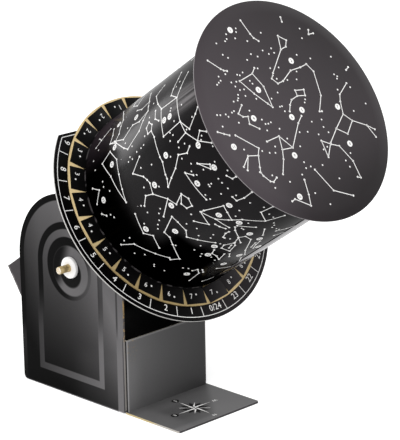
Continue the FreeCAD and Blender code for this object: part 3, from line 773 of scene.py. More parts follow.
nodeFinish = {
    "side_plate_left": sideCard, "side_plate_right": sideCard,
    "front_wall": wallCard, "rear_wall": blackCard, "base_plate": baseCard,
    "floor_strip_left": greyBoard, "floor_strip_right": greyBoard,
    "bearing_ring_left": greyBoard, "bearing_ring_right": greyBoard,
    "axle_spacer_left": greyBoard, "axle_spacer_right": greyBoard,
    "head_sleeve": darkCard, "rear_panel": darkCard, "battery_lid": darkCard,
    "battery_divider": greyBoard, "tube_bulkhead": greyBoard, "front_bulkhead": greyBoard,
    "hour_plate": dialCard, "hub_ring": greyBoard, "hub_retainer": greyBoard,
    "date_disc": tanBoard, "lamp_tube": blackCard, "socket_body": holderPlastic,
    "socket_shell": brass, "bulb_cap": brass, "bulb_glass": glass, "bulb_filament": tungsten,
    "battery": jacket, "battery_tongues": brass, "switch_body": switchPlastic,
    "switch_slider": sliderPlastic, "wire_to_switch": redLead, "wire_to_lamp": redLead,
    "wire_return": blackLead, "front_collar": blackCard, "seam_strip": blackCard,
    "tilt_axle": beech, "axle_ring_left": whiteCard, "axle_ring_right": whiteCard,
    "glue_tabs": tabCard, "star_cylinder": film, "front_disc": discCard,
}
for name, material in nodeFinish.items():
    mesh = nodes[name].data
    mesh.materials.clear()
    mesh.materials.append(material)
print("finishes made:", len(bpy.data.materials))

# Printing: thin ink on a face, drawn flat with x and y in mm and then laid in place

ink = {"thick": 0.04 * mm, "strokeCuts": 11, "dotSides": 10, "textDetail": 2}

strokeModel = start("cube", "stroke_model", size=1)
editing(strokeModel, "EDGE")
pick(strokeModel, "edges", lambda e: abs(e.verts[0].co.x - e.verts[1].co.x) > 0.5)
bpy.ops.mesh.subdivide(number_cuts=ink["strokeCuts"])
objectMode()
lineModel = start("cube", "line_model", size=1)
dotModel = start("cylinder", "dot_model", vertices=ink["dotSides"], radius=1, depth=1)
ovalModel = start("cylinder", "oval_model", vertices=24, radius=1, depth=1)
wedgeModel = start("cylinder", "wedge_model", vertices=3, radius=1, depth=1)
textModels = {}


def textModel(text):
    # a text as a thin mesh, one unit high; made once for each text
    if text not in textModels:
        clearSelection()
        bpy.ops.object.text_add()
        piece = bpy.context.object
        piece.data.body = text
        piece.data.align_x = "CENTER"
        piece.data.align_y = "CENTER"
        piece.data.extrude = 0.5
        piece.data.resolution_u = ink["textDetail"]
        bpy.ops.object.convert(target="MESH")
        piece = bpy.context.object
        low = Vector([min(v.co[i] for v in piece.data.vertices) for i in range(3)])
        top = Vector([max(v.co[i] for v in piece.data.vertices) for i in range(3)])
        shrink = 1 / (top.y - low.y)
        piece.data.transform(Matrix.Diagonal((shrink, shrink, 1, 1))
                             @ Matrix.Translation(-(low + top) / 2))
        textModels[text] = piece
    return textModels[text]


class Sheet:
    # everything printed in one ink on one face
    def __init__(self, layer=1):
        self.stamps = []
        self.layer = layer

    def stamp(self, model, x, y, wide, high, turn=0.0):
        thick = ink["thick"] * self.layer
        place = (Matrix.Translation((x * mm, y * mm, thick / 2))
                 @ Matrix.Rotation(turn, 4, "Z")
                 @ Matrix.Diagonal((wide * mm, high * mm, thick, 1)))
        self.stamps.append(copyOf(model, place))

    def line(self, first, last, wide, model=None):
        run = Vector(last) - Vector(first)
        middle = (Vector(first) + Vector(last)) / 2
        self.stamp(model or lineModel, middle.x, middle.y, run.length, wide,
                   math.atan2(run.y, run.x))

    def stroke(self, first, last, wide):
        # a line with cuts along it, so that it can be rolled
        self.line(first, last, wide, strokeModel)

    def dot(self, x, y, radius):
        self.stamp(dotModel, x, y, radius, radius)

    def oval(self, x, y, wide, high, turn=0.0):
        self.stamp(ovalModel, x, y, wide / 2, high / 2, turn)

    def text(self, text, x, y, high, turn=0.0):
        self.stamp(textModel(text), x, y, high, high, turn)

    def wedge(self, *corners):
        # a triangle between three corners, turned so that it is not inside out
        first, second, third = (Vector(corner) for corner in corners)
        if (second - first).cross(third - first) > 0:
            second, third = third, second
        middle = (first + second + third) / 3
        up = first - middle
        across = (second - middle + up / 2) / math.cos(math.radians(30))
        thick = ink["thick"] * self.layer
        place = Matrix(((across.x * mm, up.x * mm, 0, middle.x * mm),
                        (across.y * mm, up.y * mm, 0, middle.y * mm),
                        (0, 0, thick, thick / 2), (0, 0, 0, 1)))
        self.stamps.append(copyOf(wedgeModel, place))

    def arc(self, radius, fromAngle, toAngle, wide, step=2.0):
        count = max(1, int(abs(toAngle - fromAngle) / step))
        points = []
        for index in range(count + 1):
            angle = math.radians(fromAngle + (toAngle - fromAngle) * index / count)
            points.append((radius * math.cos(angle), radius * math.sin(angle)))
        for first, last in zip(points, points[1:]):
            self.line(first, last, wide)

    def done(self, name):
        return joined(self.stamps, name)


print("ink models made")

# Drum: printed film cylinder, its lap, the folded glue tabs and the front disc

drumLook = {"segments": 256, "wall": 0.6 * mm, "rimRound": 0.12 * mm,
            "seamAt": 278.0,            # where the print starts and ends, in degrees in the dial
            "lapAt": 268.0,             # where the sheet laps over itself
            "lapWide": 9.0 * mm, "lapThick": 0.2 * mm}
seamTurn = Matrix.Rotation(math.radians(drumLook["seamAt"] - 90.0), 4, "Z")


def filmCylinder():
    piece = start("cylinder", "star_film", vertices=drumLook["segments"], radius=drumRadius,
                  depth=drumHigh.z - drumLow.z, end_fill_type="NOTHING")
    applied(piece, "SOLIDIFY", thickness=drumLook["wall"], offset=-1)
    applied(piece, "BEVEL", width=drumLook["rimRound"], segments=2, limit_method="ANGLE",
            angle_limit=math.radians(60))
    middle = (drumLow.z + drumHigh.z) / 2
    settle(piece, polarFrame @ Matrix.Translation((0, 0, middle)))
    return finished(piece, "drum", "star_film", film, "star_cylinder")


def rolled(piece):
    # roll a flat piece, x round the drum and y along it, about the pole: x = 0 comes
    # opposite the place where the print starts
    piece.data.transform(Matrix.Rotation(math.radians(90), 4, "X"))
    wide = (max(v.co.x for v in piece.data.vertices)
            - min(v.co.x for v in piece.data.vertices))
    applied(piece, "SIMPLE_DEFORM", deform_method="BEND", deform_axis="Z",
            angle=wide / drumRadius)
    piece.data.transform(Matrix.Translation((0, -drumRadius, 0)))
    piece.data.transform(polarFrame @ seamTurn)
    return piece


def onFilm(angle, height):
    # flat place in mm of a point at that angle in the dial and height along the pole
    offset = (angle - drumLook["seamAt"]) % 360.0 - 180.0
    return math.radians(offset) * drumRadius / mm, height


def filmLap():
    # the sheet's end laps over its start along a straight seam
    piece = boxPiece("film_lap", (-drumLook["lapWide"] / 2, drumLow.z, 0),
                     (drumLook["lapWide"] / 2, drumHigh.z, drumLook["lapThick"]))
    editing(piece, "EDGE")
    pick(piece, "edges", lambda e: abs(e.verts[0].co.x - e.verts[1].co.x) > 1 * mm)
    bpy.ops.mesh.subdivide(number_cuts=7)
    objectMode()
    rolled(piece)
    turn = math.radians(180.0 + drumLook["lapAt"] - drumLook["seamAt"])
    piece.data.transform(polarFrame @ Matrix.Rotation(turn, 4, "Z") @ polarFrame.inverted())
    settle(piece, Matrix.Identity(4))
    return finished(piece, "drum", "star_film", film)


tabLook = {
    "wide": 19.2 * mm, "round": 0.1 * mm, "clear": 0.02 * mm, "tuckedIn": 0.4 * mm,
    "curlUp": 1.2 * mm, "count": 24,
    # tabs that differ, counted from the first: turned in degrees, moved out and along and
    # sunk in mm, and how much wider
    "uneven": {18: (2.5, 0.5, 0.35, 0.03, 1.12), 19: (-0.8, -0.5, -0.1, 0.015, 1.05),
               20: (0, -0.7, 0, 0, 1), 21: (0, -0.7, 0, 0, 1), 17: (-0.5, 0.1, -0.2, 0, 1),
               12: (0.8, 0, 0.1, 0, 1), 9: (-0.7, 0, -0.1, 0, 1), 5: (0.6, 0.1, 0.1, 0, 1)},
    "even": (0, 0, 0, 0, 1),
}


def glueTabs():
    # each tab lies on the date disc and curls up against the film at its inner end
    reach = max((polarFrame.inverted() @ v.co).xy.length
                for v in nodes["glue_tabs"].data.vertices)
    reach = math.sqrt(reach ** 2 - (tabLook["wide"] / 2) ** 2)
    model = boxPiece("tab_model", (drumRadius + tabLook["clear"], -tabLook["wide"] / 2, tabLow.z),
                     (reach, tabLook["wide"] / 2, tabHigh.z))
    editing(model)
    pick(model, "faces", lambda f: f.normal.x < -0.9)
    bpy.ops.mesh.extrude_region_move(TRANSFORM_OT_translate={"value": (-tabLook["tuckedIn"], 0, 0)})
    bpy.ops.mesh.select_all(action="DESELECT")
    pick(model, "faces", lambda f: f.normal.z > 0.9
         and f.calc_center_median().x < drumRadius)
    bpy.ops.mesh.extrude_region_move(TRANSFORM_OT_translate={"value": (0, 0, tabLook["curlUp"])})
    objectMode()
    applied(model, "BEVEL", width=tabLook["round"], segments=2, limit_method="ANGLE")
    first = math.atan2(*reversed(firstTab().xy))
    tabs = []
    for step in range(tabLook["count"]):
        turn, out, along, sunk, wider = tabLook["uneven"].get(step, tabLook["even"])
        middle = Vector(((drumRadius + reach) / 2, 0, 0))
        uneven = (Matrix.Translation(middle + Vector((out, along, -sunk)) * mm)
                  @ Matrix.Rotation(math.radians(turn), 4, "Z")
                  @ Matrix.Diagonal((1, wider, 1, 1)) @ Matrix.Translation(-middle))
        onward = first + step * math.tau / tabLook["count"]
        place = polarFrame @ Matrix.Rotation(onward, 4, "Z") @ uneven
        tabs.append(copyOf(model, place))
    discard(model)
    piece = settle(joined(tabs, "glue_tabs_folded"), Matrix.Identity(4))
    return finished(piece, "drum", "black_card", tabCard, "glue_tabs")


def firstTab():
    # middle of the outer edge of the first tab, in the dial
    points = [polarFrame.inverted() @ v.co for v in nodes["glue_tabs"].data.vertices]
    far = max(p.xy.length for p in points)
    rim = [p for p in points if p.xy.length > far - 0.05 * mm]
    angles = sorted(math.degrees(math.atan2(p.y, p.x)) % 15.0 for p in rim)
    low = [a for a in angles if a < 7.5] or [0.0]
    high = [a for a in angles if a >= 7.5] or [15.0]
    gap = (sum(high) / len(high) + sum(low) / len(low)) / 2
    turn = math.radians(gap)
    return Vector((math.cos(turn), math.sin(turn), 0))


discLook = {"segments": 192, "rings": 7, "round": 0.15 * mm}


def frontDisc():
    thick = discHigh.z - discLow.z
    piece = start("cylinder", "star_disc", vertices=discLook["segments"], radius=discHigh.x,
                  depth=thick, end_fill_type="TRIFAN")
    editing(piece)
    pick(piece, "faces", lambda f: abs(f.normal.z) > 0.9)
    for ring in range(discLook["rings"]):
        bpy.ops.mesh.inset(thickness=discHigh.x / (discLook["rings"] + 2))
    objectMode()
    applied(piece, "BEVEL", width=discLook["round"], segments=2, limit_method="ANGLE",
            angle_limit=math.radians(60))
    settle(piece, polarFrame @ Matrix.Translation((0, 0, discLow.z + thick / 2)))
    return finished(piece, "drum", "disc_card", discCard, "front_disc")


filmCylinder()
filmLap()
glueTabs()
frontDisc()
print("drum made")

# Stand and axle: pushed-on rings and the wooden dowel

axleLook = {"segments": 64, "ringRound": 0.7 * mm, "chamfer": 0.5 * mm}


def axleRing(side):
    low, high = span("axle_ring_" + side)
    outer, inner = (high.z - low.z) / 2, span("tilt_axle")[1].z - tiltPoint.z
    piece = start("cylinder", "washer_" + side, vertices=axleLook["segments"], radius=outer,
                  depth=high.x - low.x, end_fill_type="NOTHING")
    applied(piece, "SOLIDIFY", thickness=outer - inner, offset=-1)
    applied(piece, "BEVEL", width=axleLook["ringRound"], segments=3, limit_method="ANGLE",
            angle_limit=math.radians(60))
    place = Matrix.Translation(((low.x + high.x) / 2, tiltPoint.y, tiltPoint.z))
    settle(piece, place @ Matrix.Rotation(math.radians(90), 4, "Y"))
    return finished(piece, "head", "white_card", whiteCard, "axle_ring_" + side)


def tiltAxle():
    low, high = span("tilt_axle")
    piece = start("cylinder", "dowel", vertices=48, radius=high.z - tiltPoint.z,
                  depth=high.x - low.x)
    applied(piece, "BEVEL", width=axleLook["chamfer"], segments=2, limit_method="ANGLE",
            angle_limit=math.radians(60))
    place = Matrix.Translation(((low.x + high.x) / 2, tiltPoint.y, tiltPoint.z))
    settle(piece, place @ Matrix.Rotation(math.radians(90), 4, "Y"))
    return finished(piece, "head", "beech", beech, "tilt_axle")


for side in ("left", "right"):
    axleRing(side)
tiltAxle()
print("axle made")

# Dial: hour lines and numbers on the plate, month numbers on the glue tabs

dialPrint = {
    "line": 0.55, "circle": 97.6, "innerCircle": 89.5, "topLine": 68.8,
    "hourAt": 92.3, "hourShift": -0.08, "hourHigh": 5.0, "monthAt": 81.0, "monthHigh": 4.0,
    "monthLeft": 0.6, "dotRight": 4.3, "dotDown": (-1.2, 1.6),     # about the middle of a tab
    "tabHour": 0.81,        # the first tab's place on the hour scale
    "firstMonth": 7,        # its month; two tabs to a month, running down
}


def hourPlace(hour, radius):
    turn = math.radians(15.0 * hour)
    return -math.sin(turn) * radius, -math.cos(turn) * radius


def readable(hour):
    # turn of a number whose top points to the middle of the dial
    return math.radians(-15.0 * hour)


def dialInk():
    sheet = Sheet()
    p = dialPrint
    edge = math.degrees(math.asin(p["topLine"] / p["circle"]))
    sheet.arc(p["circle"], 180 - edge, 360 + edge, p["line"])
    half = math.sqrt(p["circle"] ** 2 - p["topLine"] ** 2)
    sheet.line((-half, p["topLine"]), (half, p["topLine"]), p["line"])
    for index in range(24):
        hour = index + 0.5
        inner, outer = hourPlace(hour, p["innerCircle"]), hourPlace(hour, p["circle"])
        if inner[1] < p["topLine"]:
            if outer[1] > p["topLine"]:
                share = (p["topLine"] - inner[1]) / (outer[1] - inner[1])
                outer = tuple(i + (o - i) * share for i, o in zip(inner, outer))
            sheet.line(inner, outer, p["line"])
        place = hourPlace(index + p["hourShift"], p["hourAt"])
        if place[1] < p["topLine"] - p["hourHigh"] / 2 + 0.6:
            label = "0/24" if index == 0 else str(index)
            sheet.text(label, place[0], place[1], p["hourHigh"], readable(index))
    piece = sheet.done("dial_numbers")
    settle(piece, polarFrame @ Matrix.Translation((0, 0, dialHigh.z)), 0)
    finished(piece, "head", "white_card", whiteInk)


def tabInk():
    sheet = Sheet()
    p = dialPrint
    for index in range(24):
        hour = p["tabHour"] + index
        month = (p["firstMonth"] - 1 - (index + 1) // 2) % 12 + 1
        turn = readable(hour)
        x, y = hourPlace(hour, p["monthAt"])
        right = Vector((math.cos(turn), math.sin(turn)))
        spot = Vector((x, y)) - right * p["monthLeft"]
        sheet.text(str(month), spot.x, spot.y, p["monthHigh"], turn)
        down = Vector((right.y, -right.x)) * p["dotDown"][index % 2]
        spot = Vector((x, y)) + right * p["dotRight"] + down
        sheet.dot(spot.x, spot.y, 0.75)
    piece = sheet.done("month_numbers")
    settle(piece, polarFrame @ Matrix.Translation((0, 0, tabHigh.z)), 0)
    finished(piece, "drum", "white_card", whiteInk)


dialInk()
tabInk()
print("dial printed")


# Star map: figures, stars and the round spots that carry their numbers. The front disc was
# read in pixels of a straightened picture of it. On the film a place is the angle in
# the dial in degrees and the height in mm

mapPrint = {"lineWide": 0.62, "star": 0.68, "bigStar": 0.86, "spot": 4.9, "numberHigh": 2.1}
discRead = {"centre": 506, "pixelsPerMm": 5.5}


def discPlace(x, y):
    # x and y in mm in the dial of a point read on the disc, to a tenth
    middle, scale = discRead["centre"], discRead["pixelsPerMm"]
    return round((x - middle) / scale, 1), round((middle - y) / scale, 1)


discFigures = [
    [(446, 97), (463, 160), (472, 180), (490, 197)],
    [(183, 230), (228, 275), (240, 284), (256, 289)],
    [(587, 252), (605, 193), (638, 219), (620, 245), (587, 252), (487, 340), (467, 362), (487, 387),
     (520, 382), (586, 347), (645, 343), (686, 336), (706, 373), (685, 478), (637, 541), (650, 543)],
    [(480, 510), (497, 485), (518, 466), (558, 456), (560, 432), (607, 437), (600, 462), (558, 456)],
    [(296, 341), (378, 323), (405, 385), (402, 476), (385, 457), (340, 405), (296, 341)],
    [(378, 323), (402, 302)], [(249, 437), (213, 468), (228, 484), (254, 489), (245, 519), (283, 547)],
    [(68, 518), (95, 532), (118, 543)], [(148, 549), (234, 622), (215, 650), (163, 641), (128, 695)],
    [(163, 641), (117, 678)],
    [(215, 650), (195, 697), (188, 718), (193, 733), (215, 762), (230, 768), (255, 754)],
    [(291, 605), (364, 597), (408, 656), (350, 653), (364, 597)], [(350, 653), (333, 691), (295, 748)],
    [(408, 656), (495, 566), (530, 540)], [(278, 862), (297, 857), (362, 900), (377, 855), (390, 793)],
    [(468, 766), (515, 868), (605, 911)],
    [(855, 455), (789, 494), (774, 523), (757, 577), (790, 613), (731, 661), (683, 628), (757, 577)],
    [(683, 628), (617, 678), (570, 732), (573, 660), (617, 685), (655, 700), (690, 775), (690, 849),
     (675, 843)],
    [(790, 613), (857, 648), (890, 673)], [(857, 648), (877, 705)], [(666, 118), (662, 138)],
    [(785, 197), (775, 215), (803, 215)], [(888, 400), (907, 390)],
]
discSpots = [
    (369, 127), (613, 308), (370, 393), (279, 501), (547, 517), (477, 535), (746, 541), (717, 703),
    (399, 688), (326, 853), (114, 591),
]
discStars = [
    (402, 125), (338, 140), (395, 140), (330, 160), (316, 168), (375, 165), (267, 169), (431, 187),
    (522, 165), (741, 183), (729, 225), (272, 220), (292, 237), (418, 243), (385, 263), (447, 259),
    (488, 239), (512, 259), (538, 238), (543, 259), (418, 307), (658, 289), (722, 317), (839, 330),
    (484, 318), (530, 323), (480, 350), (331, 309), (298, 313), (310, 318), (200, 303), (201, 321),
    (187, 327), (174, 334), (348, 349), (355, 363), (277, 340), (250, 338), (261, 358), (276, 376),
    (298, 378), (290, 405), (255, 393), (248, 407), (240, 415), (217, 416), (338, 427), (463, 423),
    (417, 441), (492, 367), (545, 382), (595, 389), (615, 357), (810, 406), (823, 417), (815, 426),
    (440, 482), (452, 482), (455, 505), (590, 478), (580, 490), (183, 457), (197, 453), (104, 452),
    (120, 456), (148, 458), (156, 470), (275, 467), (317, 514), (340, 537), (325, 535), (356, 534),
    (318, 562), (385, 568), (194, 503), (105, 502), (480, 603), (627, 576), (570, 574), (523, 610),
    (619, 608), (574, 632), (632, 634), (449, 659), (320, 633), (307, 658), (278, 652), (245, 637),
    (401, 615), (158, 612), (823, 576), (908, 558), (865, 475), (790, 472), (519, 757), (430, 725),
    (427, 750), (455, 749), (391, 771), (413, 857), (464, 917), (574, 828), (659, 794), (653, 765),
    (697, 741), (589, 690), (563, 697), (224, 792), (238, 741), (312, 785), (183, 715), (240, 300),
]
filmFigures = [
    [(132, 217.5), (141.2, 211.8), (146.1, 208.2), (162.1, 210.2), (163.6, 188.4), (146, 188.2),
     (146.1, 208.2), (141.5, 200), (137.3, 201.4), (131, 204.5), (126.1, 205)],
    [(146.1, 188.6), (140.1, 182.3), (131.7, 176.4), (126.1, 183.2)],
    [(162.1, 210.2), (169.5, 218.2), (164, 228.4), (161.3, 232.3)],
    [(162.1, 210.2), (169.9, 213), (171.7, 202.3)],
    [(169.9, 213), (177.9, 221.8), (183.5, 233.8)], [(177.9, 221.8), (173.9, 227.7), (176.6, 233.8)],
    [(177.8, 212), (180.1, 206.8), (178, 197.7), (183.3, 189.1), (186.4, 180.5), (189.5, 172.7),
     (185.4, 176.1), (182.9, 176.6), (175.9, 179.3), (172.7, 178.5), (160.1, 177.7), (155.2, 175),
     (151.7, 176.4), (148.9, 172.5), (151.3, 169.1), (155.5, 170.5), (155.2, 175)],
    [(144, 180.3), (149.6, 180.5), (152.4, 185)],
    [(188.2, 211.1), (192.6, 221.4), (194.8, 219.3), (188.2, 211.1)],
    [(192.2, 201.4), (188.5, 195.5), (207.5, 195.9)], [(206.3, 234.1), (206.1, 230), (202.9, 227.7)],
    [(218.9, 233.2), (219.2, 223.2), (218, 216.1), (214.8, 216.4)],
    [(200.1, 169.1), (196.9, 180), (201.3, 182.9), (205.9, 180.5), (205.2, 174.7), (201.5, 173.5),
     (196.9, 180)],
    [(190.5, 140.5), (186.2, 147.3), (187.8, 155), (194.8, 165.5), (200.1, 169.1)],
    [(194.8, 165.5), (201.7, 150.3)],
    [(187.6, 155), (181.7, 157.7), (179.2, 156.4), (176.4, 154.1), (171.1, 144.1), (164.8, 156.4)],
    [(226.6, 195.6), (220.8, 200), (216.2, 203.2), (212, 185.9), (211.5, 182.3), (220.1, 186.4),
     (229.9, 186.4)],
    [(211.5, 182.3), (220.7, 177.3), (213.8, 170)],
    [(220.1, 186.4), (225.4, 193.6), (230.3, 201.8), (241, 210.9), (246.4, 225)],
    [(234.8, 231.4), (233.3, 219.3), (241, 211.4)], [(232, 192.7), (241.1, 199.5)],
    [(222.9, 181.4), (225.7, 181.8), (229.2, 183.2)],
    [(233.7, 162.3), (224.9, 155.5), (219.5, 151.2), (215.8, 156.5), (208.9, 157.5),
     (204.4, 157), (209.5, 139.1), (213.7, 139.1), (218.6, 134.5), (229.1, 124.5),
     (226, 118.2), (224.6, 119.5), (217.2, 114.1), (205.1, 105.9), (201.1, 94.5)],
    [(191.2, 127.3), (203, 121.8), (207.4, 127.7), (215.6, 122.1)],
    [(246.9, 200), (251.3, 190.2)],
    [(232, 190), (234.1, 186.4), (240.4, 179.5), (242.2, 171.4), (244.7, 167.3), (246.4, 157.7)],
    [(232.4, 181.8), (232, 178.2), (233.4, 172.7), (234.5, 172.5)],
    [(242.9, 183.6), (248.2, 180.9), (255.2, 161.8), (260.1, 152.7)],
    [(246, 151.4), (247.7, 141.4), (243.5, 145.9), (239.3, 147.7), (237.9, 153.2)],
    [(242.8, 115.9), (244.6, 119.5), (248.4, 114.1), (249.5, 99.5)], [(247.4, 120.5), (250, 116.8)],
    [(122.5, 162.3), (132, 167.3), (135.9, 168.2), (139.7, 169.1), (144.3, 164.1), (149.6, 159.5),
     (155.7, 143.8), (153.3, 138.9), (145.9, 128.2), (143.1, 119.1), (137.8, 120.9),
     (132.2, 119.5)],
    [(139.7, 169.1), (142.9, 158.6), (141.7, 149.5), (147.3, 138.2), (143.8, 125.5), (143.1, 119.1)],
    [(132, 167.3), (133.8, 158.2), (131.3, 150.5)],
    [(144.8, 126.4), (140.6, 130.5), (134.7, 130.5), (130.1, 130.9), (122, 124.5), (115, 117.3)],
    [(129, 112.7), (132.2, 106.4), (134, 103.2), (137.5, 97.3)], [(134, 103.2), (130.8, 98.2)],
    [(182.7, 125), (175, 126.8), (166.2, 128.2), (156.9, 128.6), (148.7, 120), (152.9, 109.3),
     (164.1, 118.2), (182.7, 125)],
    [(163.3, 93.2), (166.9, 100.9), (173.3, 93.6)], [(179.9, 94.5), (182.4, 98.6)],
    [(240.2, 179.4), (245.4, 173)], [(242.2, 170.2), (239, 163.6), (240, 158.6), (246.4, 157.4)],
    [(242.6, 166.4), (243.6, 161.6)], [(248.8, 153), (251.2, 148.4)],
    [(255.6, 179.5), (256.4, 173), (258.6, 166)], [(254.2, 176), (255.8, 168)],
    [(242.9, 183.6), (240.4, 179.5)],
]
filmSpots = [
    (154.8, 198.8), (154.6, 191.8), (173.9, 185.1), (180.2, 220.5), (184.1, 161.2), (195.3, 223.1),
    (197.2, 199.7), (199, 164.1), (217.9, 207.3), (219.3, 192.1), (231, 196.8), (243.1, 188.4),
    (252.9, 183.5), (261.2, 168.2), (235.7, 157.5), (256.6, 151.8), (238.5, 144.1), (255, 134.5),
    (242.6, 108.9), (212.6, 148), (201.8, 126.8), (173.6, 102.3), (157.7, 121.8), (148, 126.2),
    (137.3, 152.5), (131.3, 125.9),
]
filmStars = [
    (164.3, 224.1), (168.7, 215), (159.4, 203.4), (166.4, 199.1), (164.1, 196.5), (168.4, 194.4),
    (174.8, 208.2), (174.7, 201.1), (181, 199.5), (186.3, 205.5), (176.2, 189.3), (173.4, 167.1),
    (171.1, 154.7), (160.1, 163.8), (160.8, 160.2), (161.1, 154.4), (153.1, 214.1), (150.3, 200.9),
    (151.7, 200), (176.9, 227.7), (178.7, 225.5), (185.4, 233.2), (186.3, 164.5), (155.5, 166.4),
    (200.8, 231.8), (192.9, 226.8), (192.9, 213), (201.7, 219.5), (204.7, 219.5), (209.2, 219.8),
    (215.2, 220.2), (201.7, 210.7), (201.3, 208), (202.5, 207.7), (209.6, 210.9), (223.8, 222.5),
    (224.1, 209.1), (193.1, 204.3), (189.9, 201.8), (205, 198.5), (208.5, 199.1), (225.9, 201.4),
    (209.6, 173.5), (212.7, 162.5), (218.6, 165.6), (228, 170), (228.9, 165), (223, 160.2),
    (196.9, 152.8), (246.8, 211.4), (248.9, 208.2), (249.6, 204.5), (253.5, 203), (256, 202),
    (231.5, 226), (238, 221), (242, 219), (235, 201), (235.5, 192), (237, 191.5), (237.5, 174),
    (236.5, 163.5), (163.3, 147.7), (161.2, 145.3), (163.3, 142.5), (181.7, 149.8), (189.3, 137.5),
    (194.5, 139.3), (198.7, 148.6), (202, 144.1), (203.6, 139.9), (205.6, 136.8), (198.7, 129.1),
    (171.3, 112.5), (163.6, 107.1), (166.8, 106.8), (183.3, 103.2), (185.7, 105.3), (200.6, 106.7),
    (200.1, 100), (220, 135.9), (229.6, 150.9), (229.6, 142.9), (214, 105.5), (222.6, 102.7),
    (223.5, 100.9), (230.2, 102.3), (209.8, 98.8), (236.3, 115.5), (239.3, 117.3), (236.2, 138.6),
    (235.1, 142.3), (241.8, 142.3), (246, 139.1), (146.6, 96.8), (153.6, 99.3), (141, 102.3),
    (141, 142.3), (150.8, 140.9), (155.9, 149.5), (135.2, 208.6), (137.3, 205), (136.9, 175.5),
    (145.7, 172.7), (148.5, 172.3),
]

